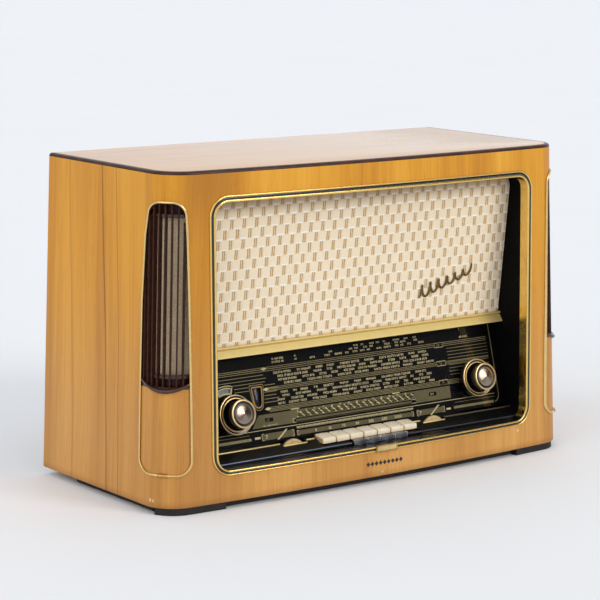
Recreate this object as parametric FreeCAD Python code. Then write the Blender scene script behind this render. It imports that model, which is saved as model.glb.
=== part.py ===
import FreeCAD, Part
import math
import os

# Table-top console radio with a bowed, tapering veneered cabinet.
# Working frame while modelling: x = 0 on the centre line, y = 0 at the cabinet's back edge with the
# front towards -Y, z = 0 at the underside of the wooden case. Every piece is moved at export so that
# the row's origin is the centre of the footprint on the surface that the feet stand on. Millimetres.

os.makedirs("parts", exist_ok=True)
V = FreeCAD.Vector

# ---------------------------------------------------------------- driving dimensions
BOTTOM_WIDTH = 640.0      # case width at its underside
TOP_WIDTH = 612.5         # case width at the top of the wrap, the sides lean inwards
BOTTOM_DEPTH = 283.1      # back edge to the front's crown, at the underside
TOP_DEPTH = 275.4         # the front leans back a little
CASE_H = 391.3            # height of the bent plywood wrap
FRONT_BOW = 9.5           # how far the front's crown stands ahead of the corner centres' line
CORNER_R = 40.0           # front corner radius
WALL = 10.0               # plywood thickness
BAND_H = 4.0              # dark bevelled edge under the lid's face
BAND_IN = 3.0             # how far the bevel leans in
FOOT_H = 9.0              # foot height
Y_SHIFT = 143.0           # half of the overall depth
OPEN_HW = 252.6           # half width over the front trim
OPEN_ZB, OPEN_ZT = 32.0, 365.3
OPEN_R = 26.0
DIAL_Y, DIAL_Z = -238.5, 51.5          # foot of the dial glass's front face
DIAL_TILT = math.degrees(math.atan(30.5 / 110.5))
CLOTH_Y, CLOTH_Z = -216.0, 167.0       # foot of the speaker cloth's front face
CLOTH_LEAN = 6.05
KNOB_X = 192.5
KNOB_S = 40.6             # knob axis, measured up the dial's slope
KEY_PITCH = 21.6
KEY_N = 7
KEY_GAP = 0.6
KEY_PIVOT_Y, KEY_PIVOT_Z = -198.0, 47.0
WHEEL_X, WHEEL_Z, WHEEL_R = 112.0, 36.4, 18.3
REG_FIRST = 2             # register keys stand below piano keys 3 to 6
REG_N = 4
CHASSIS_TOP = 64.0
SPEAKER_X, SPEAKER_S = 125.0, 98.0
LOOP_JOIN_Z = 41.5

nodes = {}


# ---------------------------------------------------------------- helpers
def box(x0, x1, y0, y1, z0, z1):
    return Part.makeBox(x1 - x0, y1 - y0, z1 - z0, V(x0, y0, z0))


def cyl(p, axis, r, h):
    return Part.makeCylinder(r, h, V(*p), V(*axis))


def cone(p, axis, r0, r1, h):
    return Part.makeCone(r0, r1, h, V(*p), V(*axis))


def fuse(items):
    s = items[0]
    for i in items[1:]:
        s = s.fuse(i)
    try:
        s = s.removeSplitter()
    except Exception:
        pass
    return s


def cut(a, *items):
    for i in items:
        a = a.cut(i)
    return a


def solids(shape):
    return shape.Solids


def biggest(shape):
    s = sorted(shape.Solids, key=lambda q: -q.Volume)
    return s[0]


def extrude_yz(points, x0, x1):
    # a profile given as (y, z) points, run along X
    w = Part.makePolygon([V(x0, y, z) for y, z in points] + [V(x0, points[0][0], points[0][1])])
    return Part.Face(w).extrude(V(x1 - x0, 0, 0))


def fillet(shape, r, pick):
    edges = [e for e in shape.Edges if pick(e)]
    if not edges:
        return shape
    try:
        f = shape.makeFillet(r, edges)
        if f.isValid() and len(f.Solids) == 1 and f.Volume > 0:
            return f
    except Exception:
        pass
    return shape


def mirror_x(shape):
    return shape.mirror(V(0, 0, 0), V(1, 0, 0))


def half_width(z):
    return (BOTTOM_WIDTH + (TOP_WIDTH - BOTTOM_WIDTH) * z / CASE_H) / 2.0


def depth(z):
    return BOTTOM_DEPTH + (TOP_DEPTH - BOTTOM_DEPTH) * z / CASE_H


def case_section(z, off, y_back=0.0):
    # the case's plan outline at height z, moved inwards by off: side, corner, bowed front, corner, side
    w = half_width(z)
    h = w - CORNER_R
    big = (h * h + FRONT_BOW * FRONT_BOW) / (2.0 * FRONT_BOW)
    yc = -depth(z) + big
    ycc = yc - math.sqrt((big - CORNER_R) ** 2 - h * h)
    r = CORNER_R - off
    rb = big - off
    d = V(h, ycc - yc, 0)
    d.normalize()
    tan_r = V(d.x * rb, yc + d.y * rb, z)
    tan_l = V(-tan_r.x, tan_r.y, z)
    m = V(1 + d.x, d.y, 0)
    m.normalize()
    mid_r = V(h + m.x * r, ycc + m.y * r, z)
    mid_l = V(-mid_r.x, mid_r.y, z)
    bl, br = V(-(w - off), y_back, z), V(w - off, y_back, z)
    sl, sr = V(-(w - off), ycc, z), V(w - off, ycc, z)
    apex = V(0, yc - rb, z)
    edges = [
        Part.makeLine(bl, sl),
        Part.Arc(sl, mid_l, tan_l).toShape(),
        Part.Arc(tan_l, apex, tan_r).toShape(),
        Part.Arc(tan_r, mid_r, sr).toShape(),
        Part.makeLine(sr, br),
        Part.makeLine(br, bl),
    ]
    return Part.Wire(edges)


def case_block(off, z0, z1, y_back=0.0, off1=None):
    return Part.makeLoft([case_section(z0, off, y_back), case_section(z1, off if off1 is None else off1, y_back)], True, True)


def front_y(x, z, off=0.0):
    w = half_width(z)
    h = w - CORNER_R
    big = (h * h + FRONT_BOW * FRONT_BOW) / (2.0 * FRONT_BOW)
    return -depth(z) + big - math.sqrt((big - off) ** 2 - x * x)


def corner_point(side_len, z, off):
    # a point and its outward normal on the left corner; side_len runs from the corner's start on the
    # side (negative = back along the side) round the bend to the front
    w = half_width(z)
    h = w - CORNER_R
    big = (h * h + FRONT_BOW * FRONT_BOW) / (2.0 * FRONT_BOW)
    ycc = -depth(z) + big - math.sqrt((big - CORNER_R) ** 2 - h * h)
    if side_len <= 0:
        return V(-(w - off), ycc - side_len, z), V(-1, 0, 0)
    a = side_len / CORNER_R
    n = V(-math.cos(a), -math.sin(a), 0)
    return V(-h, ycc, z) + n * (CORNER_R - off), n


def rounded_rect(k, y0, y1):
    # prism through the front opening, inset by k from the trim's outer edge (less at the bottom)
    hw = OPEN_HW - k
    zb, zt = OPEN_ZB + 0.75 * k, OPEN_ZT - k
    r = max(OPEN_R - k, 4.0)
    a = [
        Part.makeLine(V(-hw + r, y0, zb), V(hw - r, y0, zb)),
        Part.Arc(V(hw - r, y0, zb), V(hw - r + r * math.sin(math.pi / 4), y0, zb + r - r * math.cos(math.pi / 4)), V(hw, y0, zb + r)).toShape(),
        Part.makeLine(V(hw, y0, zb + r), V(hw, y0, zt - r)),
        Part.Arc(V(hw, y0, zt - r), V(hw - r + r * math.sin(math.pi / 4), y0, zt - r + r * math.cos(math.pi / 4)), V(hw - r, y0, zt)).toShape(),
        Part.makeLine(V(hw - r, y0, zt), V(-hw + r, y0, zt)),
        Part.Arc(V(-hw + r, y0, zt), V(-hw + r - r * math.sin(math.pi / 4), y0, zt - r + r * math.cos(math.pi / 4)), V(-hw, y0, zt - r)).toShape(),
        Part.makeLine(V(-hw, y0, zt - r), V(-hw, y0, zb + r)),
        Part.Arc(V(-hw, y0, zb + r), V(-hw + r - r * math.sin(math.pi / 4), y0, zb + r - r * math.cos(math.pi / 4)), V(-hw + r, y0, zb)).toShape(),
    ]
    return Part.Face(Part.Wire(a)).extrude(V(0, y1 - y0, 0))


# the dial's own frame: X along the dial, Y up its slope, Z out of its face
DIAL = FreeCAD.Placement(V(0, DIAL_Y, DIAL_Z), FreeCAD.Rotation(V(1, 0, 0), 90.0 - DIAL_TILT))
# the speaker cloth's own frame: X along it, Y up it, Z out of its face
CLOTH = FreeCAD.Placement(V(0, CLOTH_Y, CLOTH_Z), FreeCAD.Rotation(V(1, 0, 0), 90.0 + CLOTH_LEAN))


def on_dial(shape):
    s = shape.copy()
    s.Placement = DIAL.multiply(s.Placement)
    return s


def on_cloth(shape):
    s = shape.copy()
    s.Placement = CLOTH.multiply(s.Placement)
    return s


def ring(p, axis, r_out, r_in, h):
    return cyl(p, axis, r_out, h).cut(cyl(tuple(a - 0.5 * b for a, b in zip(p, axis)), axis, r_in, h + 1.0))


# ---------------------------------------------------------------- corner window, seen along the corner's diagonal
R2 = math.sqrt(2.0)
DIAG_T = V(-1 / R2, 1 / R2, 0)
DIAG_N = V(-1 / R2, -1 / R2, 0)


def diag(t, z, d):
    return DIAG_T * t + DIAG_N * d + V(0, 0, z)


LOOP_PTS = [(71.8, 41.5), (70.6, 141.0), (68.6, 242.0), (64.0, 320.0), (58.0, 361.0), (11.5, 361.0), (9.3, 320.0), (7.2, 246.0), (4.2, 100.0), (3.4, 41.5)]


def loop_face(inset, round_r=16.0, d=345.0, pts=LOOP_PTS):
    w = Part.makePolygon([diag(t, z, d) for t, z in pts] + [diag(pts[0][0], pts[0][1], d)])
    f = Part.Face(w)
    f = f.makeOffset2D(-(round_r + inset))
    f = f.makeOffset2D(round_r)
    return f


def diag_prism(face, length=85.0):
    return face.extrude(DIAG_N * length)


# ---------------------------------------------------------------- 1 cabinet
slot_face = loop_face(3.6)
slot_prism = diag_prism(slot_face)
slot_zone = box(-400, -200, -330, -150, 141.5, 370)
slot_left = slot_prism.common(slot_zone)
slot_right = mirror_x(slot_left)

shell = case_block(0, 0, CASE_H)
hollow = case_block(WALL, -2, CASE_H + 2, 12.0)
shell = shell.cut(hollow)
shell = shell.cut(rounded_rect(5.4, -300, -250))
shell = shell.cut(slot_left).cut(slot_right)
nodes["cabinet_shell"] = shell

lid_low = case_block(WALL + 0.15, CASE_H - 8.0, CASE_H)
lid_up = case_block(6.1, CASE_H, CASE_H + BAND_H)
nodes["top_panel"] = fuse([lid_low, lid_up])

band = case_block(0.0, CASE_H, CASE_H + BAND_H, 0.0, BAND_IN)
band = band.cut(case_block(6.0, CASE_H - 1, CASE_H + BAND_H + 1, 12.0))
nodes["top_edge_band"] = band

nodes["bottom_board"] = case_block(WALL + 0.15, 0.0, 10.0)

foot_zone = case_block(3.0, -FOOT_H, 0.0)
feet = []
for sx in (-1, 1):
    a = foot_zone.common(box(min(sx * 232, sx * 340), max(sx * 232, sx * 340), -330, -246, -FOOT_H, 0))
    b = box(min(sx * 205, sx * 262), max(sx * 205, sx * 262), -58, -12, -FOOT_H, 0)
    feet += solids(a) + solids(b)
    # dark rails under the bottom board, between the feet and 1 mm clear of the table
    x_out = half_width(0.0) - 11.0
    feet.append(box(min(sx * x_out, sx * (x_out - 8.0)), max(sx * x_out, sx * (x_out - 8.0)), -234.0, -62.0, 1.0 - FOOT_H, 0))
for xa, xb in ((-230.0, -77.5), (-77.0, 77.0), (77.5, 230.0)):
    ya, yb = front_y(xa, 0.0, 11.0), front_y(xb, 0.0, 11.0)
    outline = [V(xa, ya, 0), V(xb, yb, 0), V(xb, yb + 8.0, 0), V(xa, ya + 8.0, 0), V(xa, ya, 0)]
    feet.append(Part.Face(Part.makePolygon(outline)).extrude(V(0, 0, 1.0 - FOOT_H)))
nodes["feet"] = Part.makeCompound(feet)

# ---------------------------------------------------------------- 2 front trim
skin_out = case_block(-2.2, 0, CASE_H)
skin_face = case_block(-0.05, 0, CASE_H, 12.0)
lip = skin_out.cut(skin_face).common(rounded_rect(0.0, -300, -255).cut(rounded_rect(8.5, -300, -255)))
ret = skin_out.cut(case_block(12.0, 0, CASE_H, 12.0)).common(rounded_rect(7.3, -300, -240).cut(rounded_rect(8.5, -300, -240)))
gold = fuse([lip, ret])
groove_zone = rounded_rect(2.5, -300, -250).cut(rounded_rect(5.3, -300, -250))
groove = case_block(-5.0, 0, CASE_H).cut(case_block(-1.0, 0, CASE_H, 12.0)).common(groove_zone)
gold = gold.cut(groove)
nodes["opening_trim"] = biggest(gold)
inlay_zone = rounded_rect(2.55, -300, -250).cut(rounded_rect(5.25, -300, -250))
inlay = case_block(-1.7, 0, CASE_H).cut(case_block(-1.05, 0, CASE_H, 12.0)).common(inlay_zone)
nodes["trim_inlay"] = biggest(inlay)

# sleeves that close the butt joints of the trim and of the two corner loops
clip = case_block(-3.6, 0, CASE_H).cut(case_block(-2.25, 0, CASE_H, 12.0)).common(box(-13.0, 21.0, -300, -255, OPEN_ZB - 1.0, OPEN_ZB + 7.6))
loop_ring = loop_face(0.0)
loop_inner = loop_face(2.4)
ring_prism = diag_prism(loop_ring).cut(diag_prism(loop_inner))
loop_left = case_block(-2.4, 0, CASE_H).cut(case_block(-0.05, 0, CASE_H, 12.0)).common(ring_prism)
loop_left = loop_left.common(box(-400, -200, -330, -150, 20, 380))
loop_left = biggest(loop_left)
sleeve_face = Part.Face(Part.makePolygon([diag(t, z, 345.0) for t, z in ((31.5, 40.6), (44.5, 40.6), (44.5, 44.8), (31.5, 44.8), (31.5, 40.6))]))
sleeve_prism = diag_prism(sleeve_face)
sleeve = case_block(-3.3, 0, CASE_H).cut(case_block(-2.45, 0, CASE_H, 12.0)).common(sleeve_prism)
sleeve = biggest(sleeve.common(box(-400, -200, -330, -150, 20, 100)))
nodes["corner_loops"] = Part.makeCompound([loop_left, mirror_x(loop_left)])
nodes["trim_joiners"] = Part.makeCompound([biggest(clip), sleeve, mirror_x(sleeve)])

# ---------------------------------------------------------------- 3 corner sound grilles
def corner_grille():
    zlo, zhi = 141.8, 370.0
    zone = box(-400, -200, -330, -150, zlo, zhi)
    f_out, f_in = loop_face(3.9), loop_face(6.4)
    wall_out = diag_prism(f_out).common(zone)
    wall_in = diag_prism(f_in).common(box(-400, -200, -330, -150, zlo + 4.2, zhi))
    shell_zone = case_block(0.6, 100, 380).cut(case_block(WALL - 0.2, 99, 381, 12.0))
    frame = wall_out.cut(wall_in).common(shell_zone)
    parts = [frame]
    # ribs stand square to the surface and run the full height
    for i in range(10):
        s = -18.5 + i * 8.4
        quads = []
        for z in (143.0, 359.0):
            p, n = corner_point(s, z, 0.0)
            tdir = V(-n.y, n.x, 0)
            a = p - n * 1.0
            b = p - n * (WALL - 0.4)
            quads.append(Part.makePolygon([a + tdir * 1.0, a - tdir * 1.0, b - tdir * 1.0, b + tdir * 1.0, a + tdir * 1.0]))
        rib = Part.makeLoft(quads, True, True)
        parts.append(rib.common(wall_out))
    bars = case_block(4.5, 100, 380).cut(case_block(WALL - 0.3, 99, 381, 12.0)).common(wall_out)
    for z0, z1 in ((339.5, 343.0), (158.0, 161.5)):
        parts.append(bars.common(box(-400, -200, -330, -150, z0, z1)))
    # the foot of the grille: a crescent lip that stands proud of the veneer
    arc = Part.Arc(diag(70.0, 149.0, 345.0), diag(37.5, 136.5, 345.0), diag(5.6, 146.0, 345.0)).toShape()
    arc_up = Part.Arc(diag(5.6, 149.5, 345.0), diag(37.5, 141.9, 345.0), diag(70.0, 152.5, 345.0)).toShape()
    crescent = Part.Face(Part.Wire([arc, Part.makeLine(diag(5.6, 146.0, 345.0), diag(5.6, 149.5, 345.0)), arc_up, Part.makeLine(diag(70.0, 152.5, 345.0), diag(70.0, 149.0, 345.0))]))
    cz = diag_prism(crescent)
    lip_out = case_block(-4.0, 0, CASE_H).cut(case_block(-0.06, 0, CASE_H, 12.0)).common(cz).common(diag_prism(loop_face(2.6)))
    lip_in = case_block(-4.0, 0, CASE_H).cut(case_block(6.0, 0, CASE_H, 12.0)).common(cz).common(wall_out)
    parts += [lip_out, lip_in]
    g = parts[0]
    for p in parts[1:]:
        g = g.fuse(p)
    return biggest(g)


grille_left = corner_grille()
nodes["side_grille_left"] = grille_left
nodes["side_grille_right"] = mirror_x(grille_left)

cloth_zone = diag_prism(loop_face(0.5)).common(box(-400, -200, -330, -150, 136, 366))
side_cloth = case_block(WALL + 0.15, 100, 380).cut(case_block(WALL + 1.15, 99, 381, 12.0)).common(cloth_zone)
side_cloth = biggest(side_cloth)
nodes["side_cloths"] = Part.makeCompound([side_cloth, mirror_x(side_cloth)])

# flat electrostatic tweeters behind the corner grilles
tc = V(-277.5, -231.5, 0)
tw = Part.makeBox(46.0, 9.0, 118.0, V(-23.0, 0, 188.0))
tw = fillet(tw, 3.0, lambda e: abs(e.Vertexes[0].Point.z - e.Vertexes[-1].Point.z) > 50)
tw_face = Part.makeBox(34.0, 2.0, 100.0, V(-17.0, -2.0, 197.0))
tw = tw.fuse(tw_face)
tw.Placement = FreeCAD.Placement(tc, FreeCAD.Rotation(V(0, 0, 1), -45.0)).multiply(tw.Placement)
nodes["side_tweeters"] = Part.makeCompound([tw, mirror_x(tw)])

# ---------------------------------------------------------------- 4 recess, cloth, dial
tube = rounded_rect(4.2, -300, -203).cut(rounded_rect(6.4, -301, -202))
tube = tube.common(case_block(10.2, 5, 385, 12.0))
flange_zone = rounded_rect(-9.0, -300, -240).cut(rounded_rect(6.4, -301, -239))
flange = case_block(10.2, 5, 385).cut(case_block(12.2, 4, 386, 12.0)).common(flange_zone)
mask = fuse([tube, flange])
mask = mask.cut(box(-148, 148, -266.0, -195, 30, 38.9))
nodes["recess_mask"] = biggest(mask)

inner_tube = rounded_rect(7.0, -300, -190)
baffle = on_cloth(Part.makeBox(492, 194, 8, V(-246, -1.8, -9.6))).common(inner_tube)
for sx in (-1, 1):
    baffle = baffle.cut(on_cloth(Part.makeCylinder(74, 30, V(sx * SPEAKER_X, SPEAKER_S, -20), V(0, 0, 1))))
nodes["baffle_board"] = biggest(baffle)
cloth = on_cloth(Part.makeBox(492, 194, 1.4, V(-246, -1.8, -1.5))).common(inner_tube)
nodes["speaker_cloth"] = biggest(cloth)

# a small abstract metal flourish on the cloth: a rising line of linked waves
orn = []
n_w = 5
path = []
for i in range(n_w * 2 + 1):
    x = 104.0 + i * 88.0 / (n_w * 2)
    base = 40.0 + (x - 104.0) * 0.40
    path.append((x, base + (7.5 if i % 2 else -3.0)))
for (x0, s0), (x1, s1) in zip(path[:-1], path[1:]):
    dx, ds = x1 - x0, s1 - s0
    ln = math.hypot(dx, ds)
    nx, ns = -ds / ln * 0.9, dx / ln * 0.9
    seg = Part.Face(Part.makePolygon([V(x0 + nx, s0 + ns, 0.05), V(x0 - nx, s0 - ns, 0.05), V(x1 - nx, s1 - ns, 0.05), V(x1 + nx, s1 + ns, 0.05), V(x0 + nx, s0 + ns, 0.05)])).extrude(V(0, 0, 1.5))
    orn.append(seg)
    orn.append(Part.makeCylinder(0.9, 1.5, V(x1, s1, 0.05), V(0, 0, 1)))
ornament = fuse(orn)
nodes["cloth_ornament"] = biggest(on_cloth(ornament))

rail_profile = [(-217.0, 173.4), (-223.6, 173.2), (-225.0, 172.0), (-224.6, 170.6), (-222.2, 169.8), (-221.8, 168.4), (-216.5, 160.2), (-214.6, 160.2), (-214.6, 163.2), (-217.0, 165.2)]
nodes["dial_rail"] = extrude_yz(rail_profile, -245.9, 245.9)

glass = Part.makeBox(490.8, 113.0, 3.0, V(-245.4, 1.2, -3.0))
for sx in (-1, 1):
    glass = glass.cut(Part.makeCylinder(5.8, 10, V(sx * KNOB_X, KNOB_S, -6), V(0, 0, 1)))
nodes["dial_glass"] = on_dial(glass)

# shelf in front of the dial, cut out for the piano keys, the register keys and the tone wheels
bez = extrude_yz([(-240.2, 50.2), (-244.8, 50.0), (-261.6, 41.8), (-262.0, 41.0), (-262.0, 39.2), (-259.2, 39.2), (-244.6, 47.2), (-240.2, 47.4)], -245.6, 245.6)
bez = bez.common(rounded_rect(7.2, -300, -200))
key_half = KEY_PITCH * KEY_N / 2.0
bez = bez.cut(box(-key_half - 0.8, key_half + 0.8, -258.9, -239, 30, 60))
reg_x0 = -key_half + KEY_PITCH * REG_FIRST
reg_x1 = reg_x0 + KEY_PITCH * REG_N
bez = bez.cut(box(reg_x0 - 0.6, reg_x1 + 0.6, -263, -250, 30, 60))
for sx in (-1, 1):
    bez = bez.cut(box(sx * WHEEL_X - WHEEL_R - 0.8, sx * WHEEL_X + WHEEL_R + 0.8, -247.6, -239, 30, 60))
bez = bez.cut(box(-key_half - 0.8, key_half + 0.8, -241, -239, 30, 60))
# a strip under the shelf's front edge ties its two halves together below the register keys
tie = extrude_yz([(-261.0, 39.4), (-258.9, 39.4), (-258.9, 33.4), (-260.6, 33.4)], reg_x0 - 6.0, reg_x1 + 6.0)
tie = tie.cut(box(reg_x0 - 0.6, reg_x1 + 0.6, -263, -250, 35.9, 60))
bez = bez.fuse(tie)
nodes["key_bezel"] = biggest(bez)

# back plate of the dial with shaft bushes and the two pointer guide rods
plate = Part.makeBox(476, 106, 1.2, V(-238, 6, -11.2))
eye_cut = Part.makeBox(30, 63.0, 6, V(-166.5, 30.5, -13))
plate = plate.cut(eye_cut)
items = [plate]
for sx in (-1, 1):
    items.append(Part.makeCylinder(7.5, 2.6, V(sx * KNOB_X, KNOB_S, -11.2), V(0, 0, 1)))
for s in (12.0, 108.0):
    items.append(Part.makeCylinder(1.5, 304, V(-152, s, -6.6), V(1, 0, 0)))
    for x in (-152, 149):
        items.append(Part.makeBox(3, 5, 5.8, V(x, s - 2.5, -10.4)))
plate = fuse(items)
for sx in (-1, 1):
    plate = plate.cut(Part.makeCylinder(5.06, 20, V(sx * KNOB_X, KNOB_S, -20), V(0, 0, 1)))
nodes["dial_backplate"] = on_dial(biggest(plate))

lamps = []
for sx in (-1, 1):
    bulb = Part.makeSphere(5.0, V(sx * 95, 88, -17.0)).common(Part.makeBox(20, 20, 20, V(sx * 95 - 10, 78, -18.0)))
    lamps.append(on_dial(Part.makeCylinder(5.5, 7.0, V(sx * 95, 88, -24.4), V(0, 0, 1)).fuse(bulb)))
nodes["dial_lamps"] = Part.makeCompound(lamps)

# tuning eye: a glass valve standing up the dial's slope behind its window
eye = Part.makeCylinder(10.2, 40, V(-151.5, 40, -19.6), V(0, 1, 0))
eye = eye.fuse(Part.makeSphere(10.2, V(-151.5, 80, -19.6)))
eye = eye.fuse(Part.makeCylinder(11.0, 6.0, V(-151.5, 32.5, -19.6), V(0, 1, 0)))
eye = eye.fuse(Part.makeCylinder(9.2, 3.0, V(-151.5, 38.0, -19.6), V(0, 1, 0)))
nodes["magic_eye"] = on_dial(eye)

# ---------------------------------------------------------------- 5 loudspeakers
frames, cones = [], []
for sx in (-1, 1):
    prof = [V(74.5, 0, -9.75), V(84, 0, -9.75), V(84, 0, -12.5), V(77, 0, -12.5), V(40, 0, -46), V(37, 0, -49), V(37, 0, -74), V(0, 0, -74), V(0, 0, -52), V(30, 0, -52), V(36.5, 0, -44.5), V(73, 0, -11.8)]
    f = Part.Face(Part.makePolygon(prof + [prof[0]])).revolve(V(0, 0, 0), V(0, 0, 1), 360)
    if f.Volume < 0:
        f.reverse()
    # four windows in the basket
    for a in range(4):
        w = Part.makeBox(40, 30, 22, V(44, -15, -38))
        w.rotate(V(0, 0, 0), V(0, 0, 1), 45 + a * 90)
        f = f.cut(w)
    f.translate(V(sx * SPEAKER_X, SPEAKER_S, 0))
    frames.append(on_cloth(biggest(f)))
    cp = [V(72.0, 0, -10.2), V(72.8, 0, -11.2), V(68, 0, -14.2), V(24, 0, -46.0), V(22.4, 0, -46.0), V(0, 0, -41.5), V(0, 0, -40.7), V(22, 0, -44.8), V(67, 0, -12.8)]
    c = Part.Face(Part.makePolygon(cp + [cp[0]])).revolve(V(0, 0, 0), V(0, 0, 1), 360)
    if c.Volume < 0:
        c.reverse()
    c.translate(V(sx * SPEAKER_X, SPEAKER_S, 0))
    cones.append(on_cloth(c))
nodes["speaker_frames"] = Part.makeCompound(frames)
nodes["speaker_cones"] = Part.makeCompound(cones)

# ---------------------------------------------------------------- 6 chassis and what stands on it
pan = box(-230, 230, -186, -24, 10.0, CHASSIS_TOP).cut(box(-228.8, 228.8, -184.8, -25.2, 9.0, CHASSIS_TOP - 1.2))
pan = pan.cut(box(-86, 86, -190, -180, 9.0, 60.5))
pan = pan.cut(box(128, 176, -30, -20, 9.0, 58))
nodes["chassis"] = pan

trs = []
for (x0, x1, y0, y1, h) in ((128, 206, -116, -50, 70), (52, 100, -78, -38, 42)):
    z0 = CHASSIS_TOP
    core = box(x0, x1, y0 + 14, y1 - 14, z0, z0 + h)
    wind = box(x0 + 13, x1 - 13, y0, y1, z0 + 10, z0 + h - 10)
    wind = fillet(wind, 5.0, lambda e: abs(e.Vertexes[0].Point.z - e.Vertexes[-1].Point.z) > 8)
    trs.append(core.fuse(wind))
nodes["transformers"] = Part.makeCompound(trs)

valves = []
for (x, y, h, r) in ((-200, -75, 52, 10.5), (-150, -62, 52, 10.5), (-52, -58, 52, 10.5), (-100, -60, 52, 10.5), (34, -150, 52, 10.5), (112, -136, 62, 10.8)):
    s = cyl((x, y, CHASSIS_TOP), (0, 0, 1), 12.5, 5.0)
    g = cyl((x, y, CHASSIS_TOP + 5.0), (0, 0, 1), r, h - r)
    d = Part.makeSphere(r, V(x, y, CHASSIS_TOP + 5.0 + h - r))
    tip = cone((x, y, CHASSIS_TOP + 4.0 + h), (0, 0, 1), 2.4, 0.8, 5.0)
    valves.append(fuse([s, g, d, tip]))
nodes["valves"] = Part.makeCompound(valves)

cans = []
for (x, y) in ((-175, -120), (-120, -120), (-85, -152)):
    c = box(x - 13, x + 13, y - 13, y + 13, CHASSIS_TOP, CHASSIS_TOP + 58)
    c = fillet(c, 3.0, lambda e: abs(e.Vertexes[0].Point.z - e.Vertexes[-1].Point.z) > 40)
    cans.append(c)
cans.append(cyl((76, -150, CHASSIS_TOP), (0, 0, 1), 16.0, 66.0))
nodes["shield_cans"] = Part.makeCompound(cans)

# tuning capacitor: frame with two stator packs; the rotor turns about Y
CAP_X, CAP_Z = -30.0, 92.0
cap = box(CAP_X - 26, CAP_X + 26, -176, -128, 66.0, 68.0)
cap = cap.fuse(box(CAP_X - 20, CAP_X + 20, -174, -130, CHASSIS_TOP, 66.2))
for y in (-176.0, -153.0, -130.0):
    w = box(CAP_X - 26, CAP_X + 26, y, y + 2.0, 66.0, 114.0)
    w = w.cut(cyl((CAP_X, y - 1, CAP_Z), (0, 1, 0), 3.05, 4))
    cap = cap.fuse(w)
for y_start in (-171.0, -148.0):
    for i in range(5):
        y = y_start + i * 3.2
        st = cyl((CAP_X, y, CAP_Z), (0, 1, 0), 21.0, 0.8).common(box(CAP_X - 25, CAP_X - 4.5, y - 1, y + 2, 68, 114))
        cap = cap.fuse(st)
    cap = cap.fuse(box(CAP_X - 24, CAP_X - 19.5, y_start - 3.2, y_start + 18.5, CAP_Z - 4, CAP_Z + 4).cut(box(CAP_X - 24, CAP_X - 19.5, y_start - 10, y_start - 3.0, 0, 200)))
nodes["tuning_capacitor"] = biggest(cap)
rotor = cyl((CAP_X, -184.0, CAP_Z), (0, 1, 0), 3.0, 57.0)
for y_start in (-171.0, -148.0):
    for i in range(4):
        y = y_start + 1.6 + i * 3.2
        rotor = rotor.fuse(cyl((CAP_X, y, CAP_Z), (0, 1, 0), 17.5, 0.8).common(box(CAP_X - 0.5, CAP_X + 30, y - 1, y + 2, 60, 130)))
rotor = rotor.fuse(cyl((CAP_X, -184.0, CAP_Z), (0, 1, 0), 24.0, 5.0))
nodes["capacitor_rotor"] = biggest(rotor)

FER_Y = -84.0
post = fuse([cyl((0, FER_Y, CHASSIS_TOP), (0, 0, 1), 10.0, 3.0), cyl((0, FER_Y, CHASSIS_TOP), (0, 0, 1), 5.0, 86.0), cyl((0, FER_Y, CHASSIS_TOP + 80), (0, 0, 1), 3.0, 14.0)])
nodes["ferrite_post"] = post
hub = cyl((0, FER_Y, CHASSIS_TOP + 86.3), (0, 0, 1), 9.0, 10.0)
hub = hub.cut(cyl((0, FER_Y, CHASSIS_TOP + 80), (0, 0, 1), 3.05, 15.0))
rod = cyl((-62, FER_Y, CHASSIS_TOP + 101.0), (1, 0, 0), 5.0, 124.0)
coil = [cyl((x, FER_Y, CHASSIS_TOP + 101.0), (1, 0, 0), 7.0, 26.0) for x in (-50.0, 24.0)]
ferrite = fuse([hub, rod] + coil)
nodes["ferrite_rod"] = biggest(ferrite)

# key switch frame with the pivot rod of the piano keys, and the register switch strip in front
frame_items = [
    box(-83.0, 83.0, -206, -142, 12.0, 13.6),
    box(-83.0, -80.6, -206, -142, 12.0, 58.0),
    box(80.6, 83.0, -206, -142, 12.0, 58.0),
    box(-83.0, 83.0, -144, -142, 12.0, 58.0),
    cyl((-82.0, KEY_PIVOT_Y, KEY_PIVOT_Z), (1, 0, 0), 1.5, 164.0),
]
sw = fuse(frame_items)
strip = box(reg_x0 - 6, reg_x1 + 6, -269.0, -256.0, 10.0, 30.0)
for i in range(REG_N):
    xc = reg_x0 + KEY_PITCH * (i + 0.5)
    strip = strip.cut(box(xc - 3.06, xc + 3.06, -264.56, -260.94, 16.0, 31.0))
nodes["key_housing"] = Part.makeCompound([biggest(sw), strip])

pots = []
pot = Part.makeCylinder(12.0, 14.0, V(-KNOB_X, KNOB_S, -36.0), V(0, 0, 1)).fuse(Part.makeCylinder(5.0, 3.6, V(-KNOB_X, KNOB_S, -22.2), V(0, 0, 1)))
pot = pot.cut(Part.makeCylinder(3.05, 12.0, V(-KNOB_X, KNOB_S, -30.0), V(0, 0, 1)))
pots.append(on_dial(pot))
for sx in (-1, 1):
    p = cyl((sx * WHEEL_X, -238.6, WHEEL_Z), (0, 1, 0), 10.0, 14.0)
    p = p.cut(cyl((sx * WHEEL_X, -240, WHEEL_Z), (0, 1, 0), 3.05, 10.0))
    p = p.fuse(box(sx * WHEEL_X - 8, sx * WHEEL_X + 8, -228.0, -225.0, 10.0, WHEEL_Z))
    pots.append(p)
nodes["control_pots"] = Part.makeCompound(pots)

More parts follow.
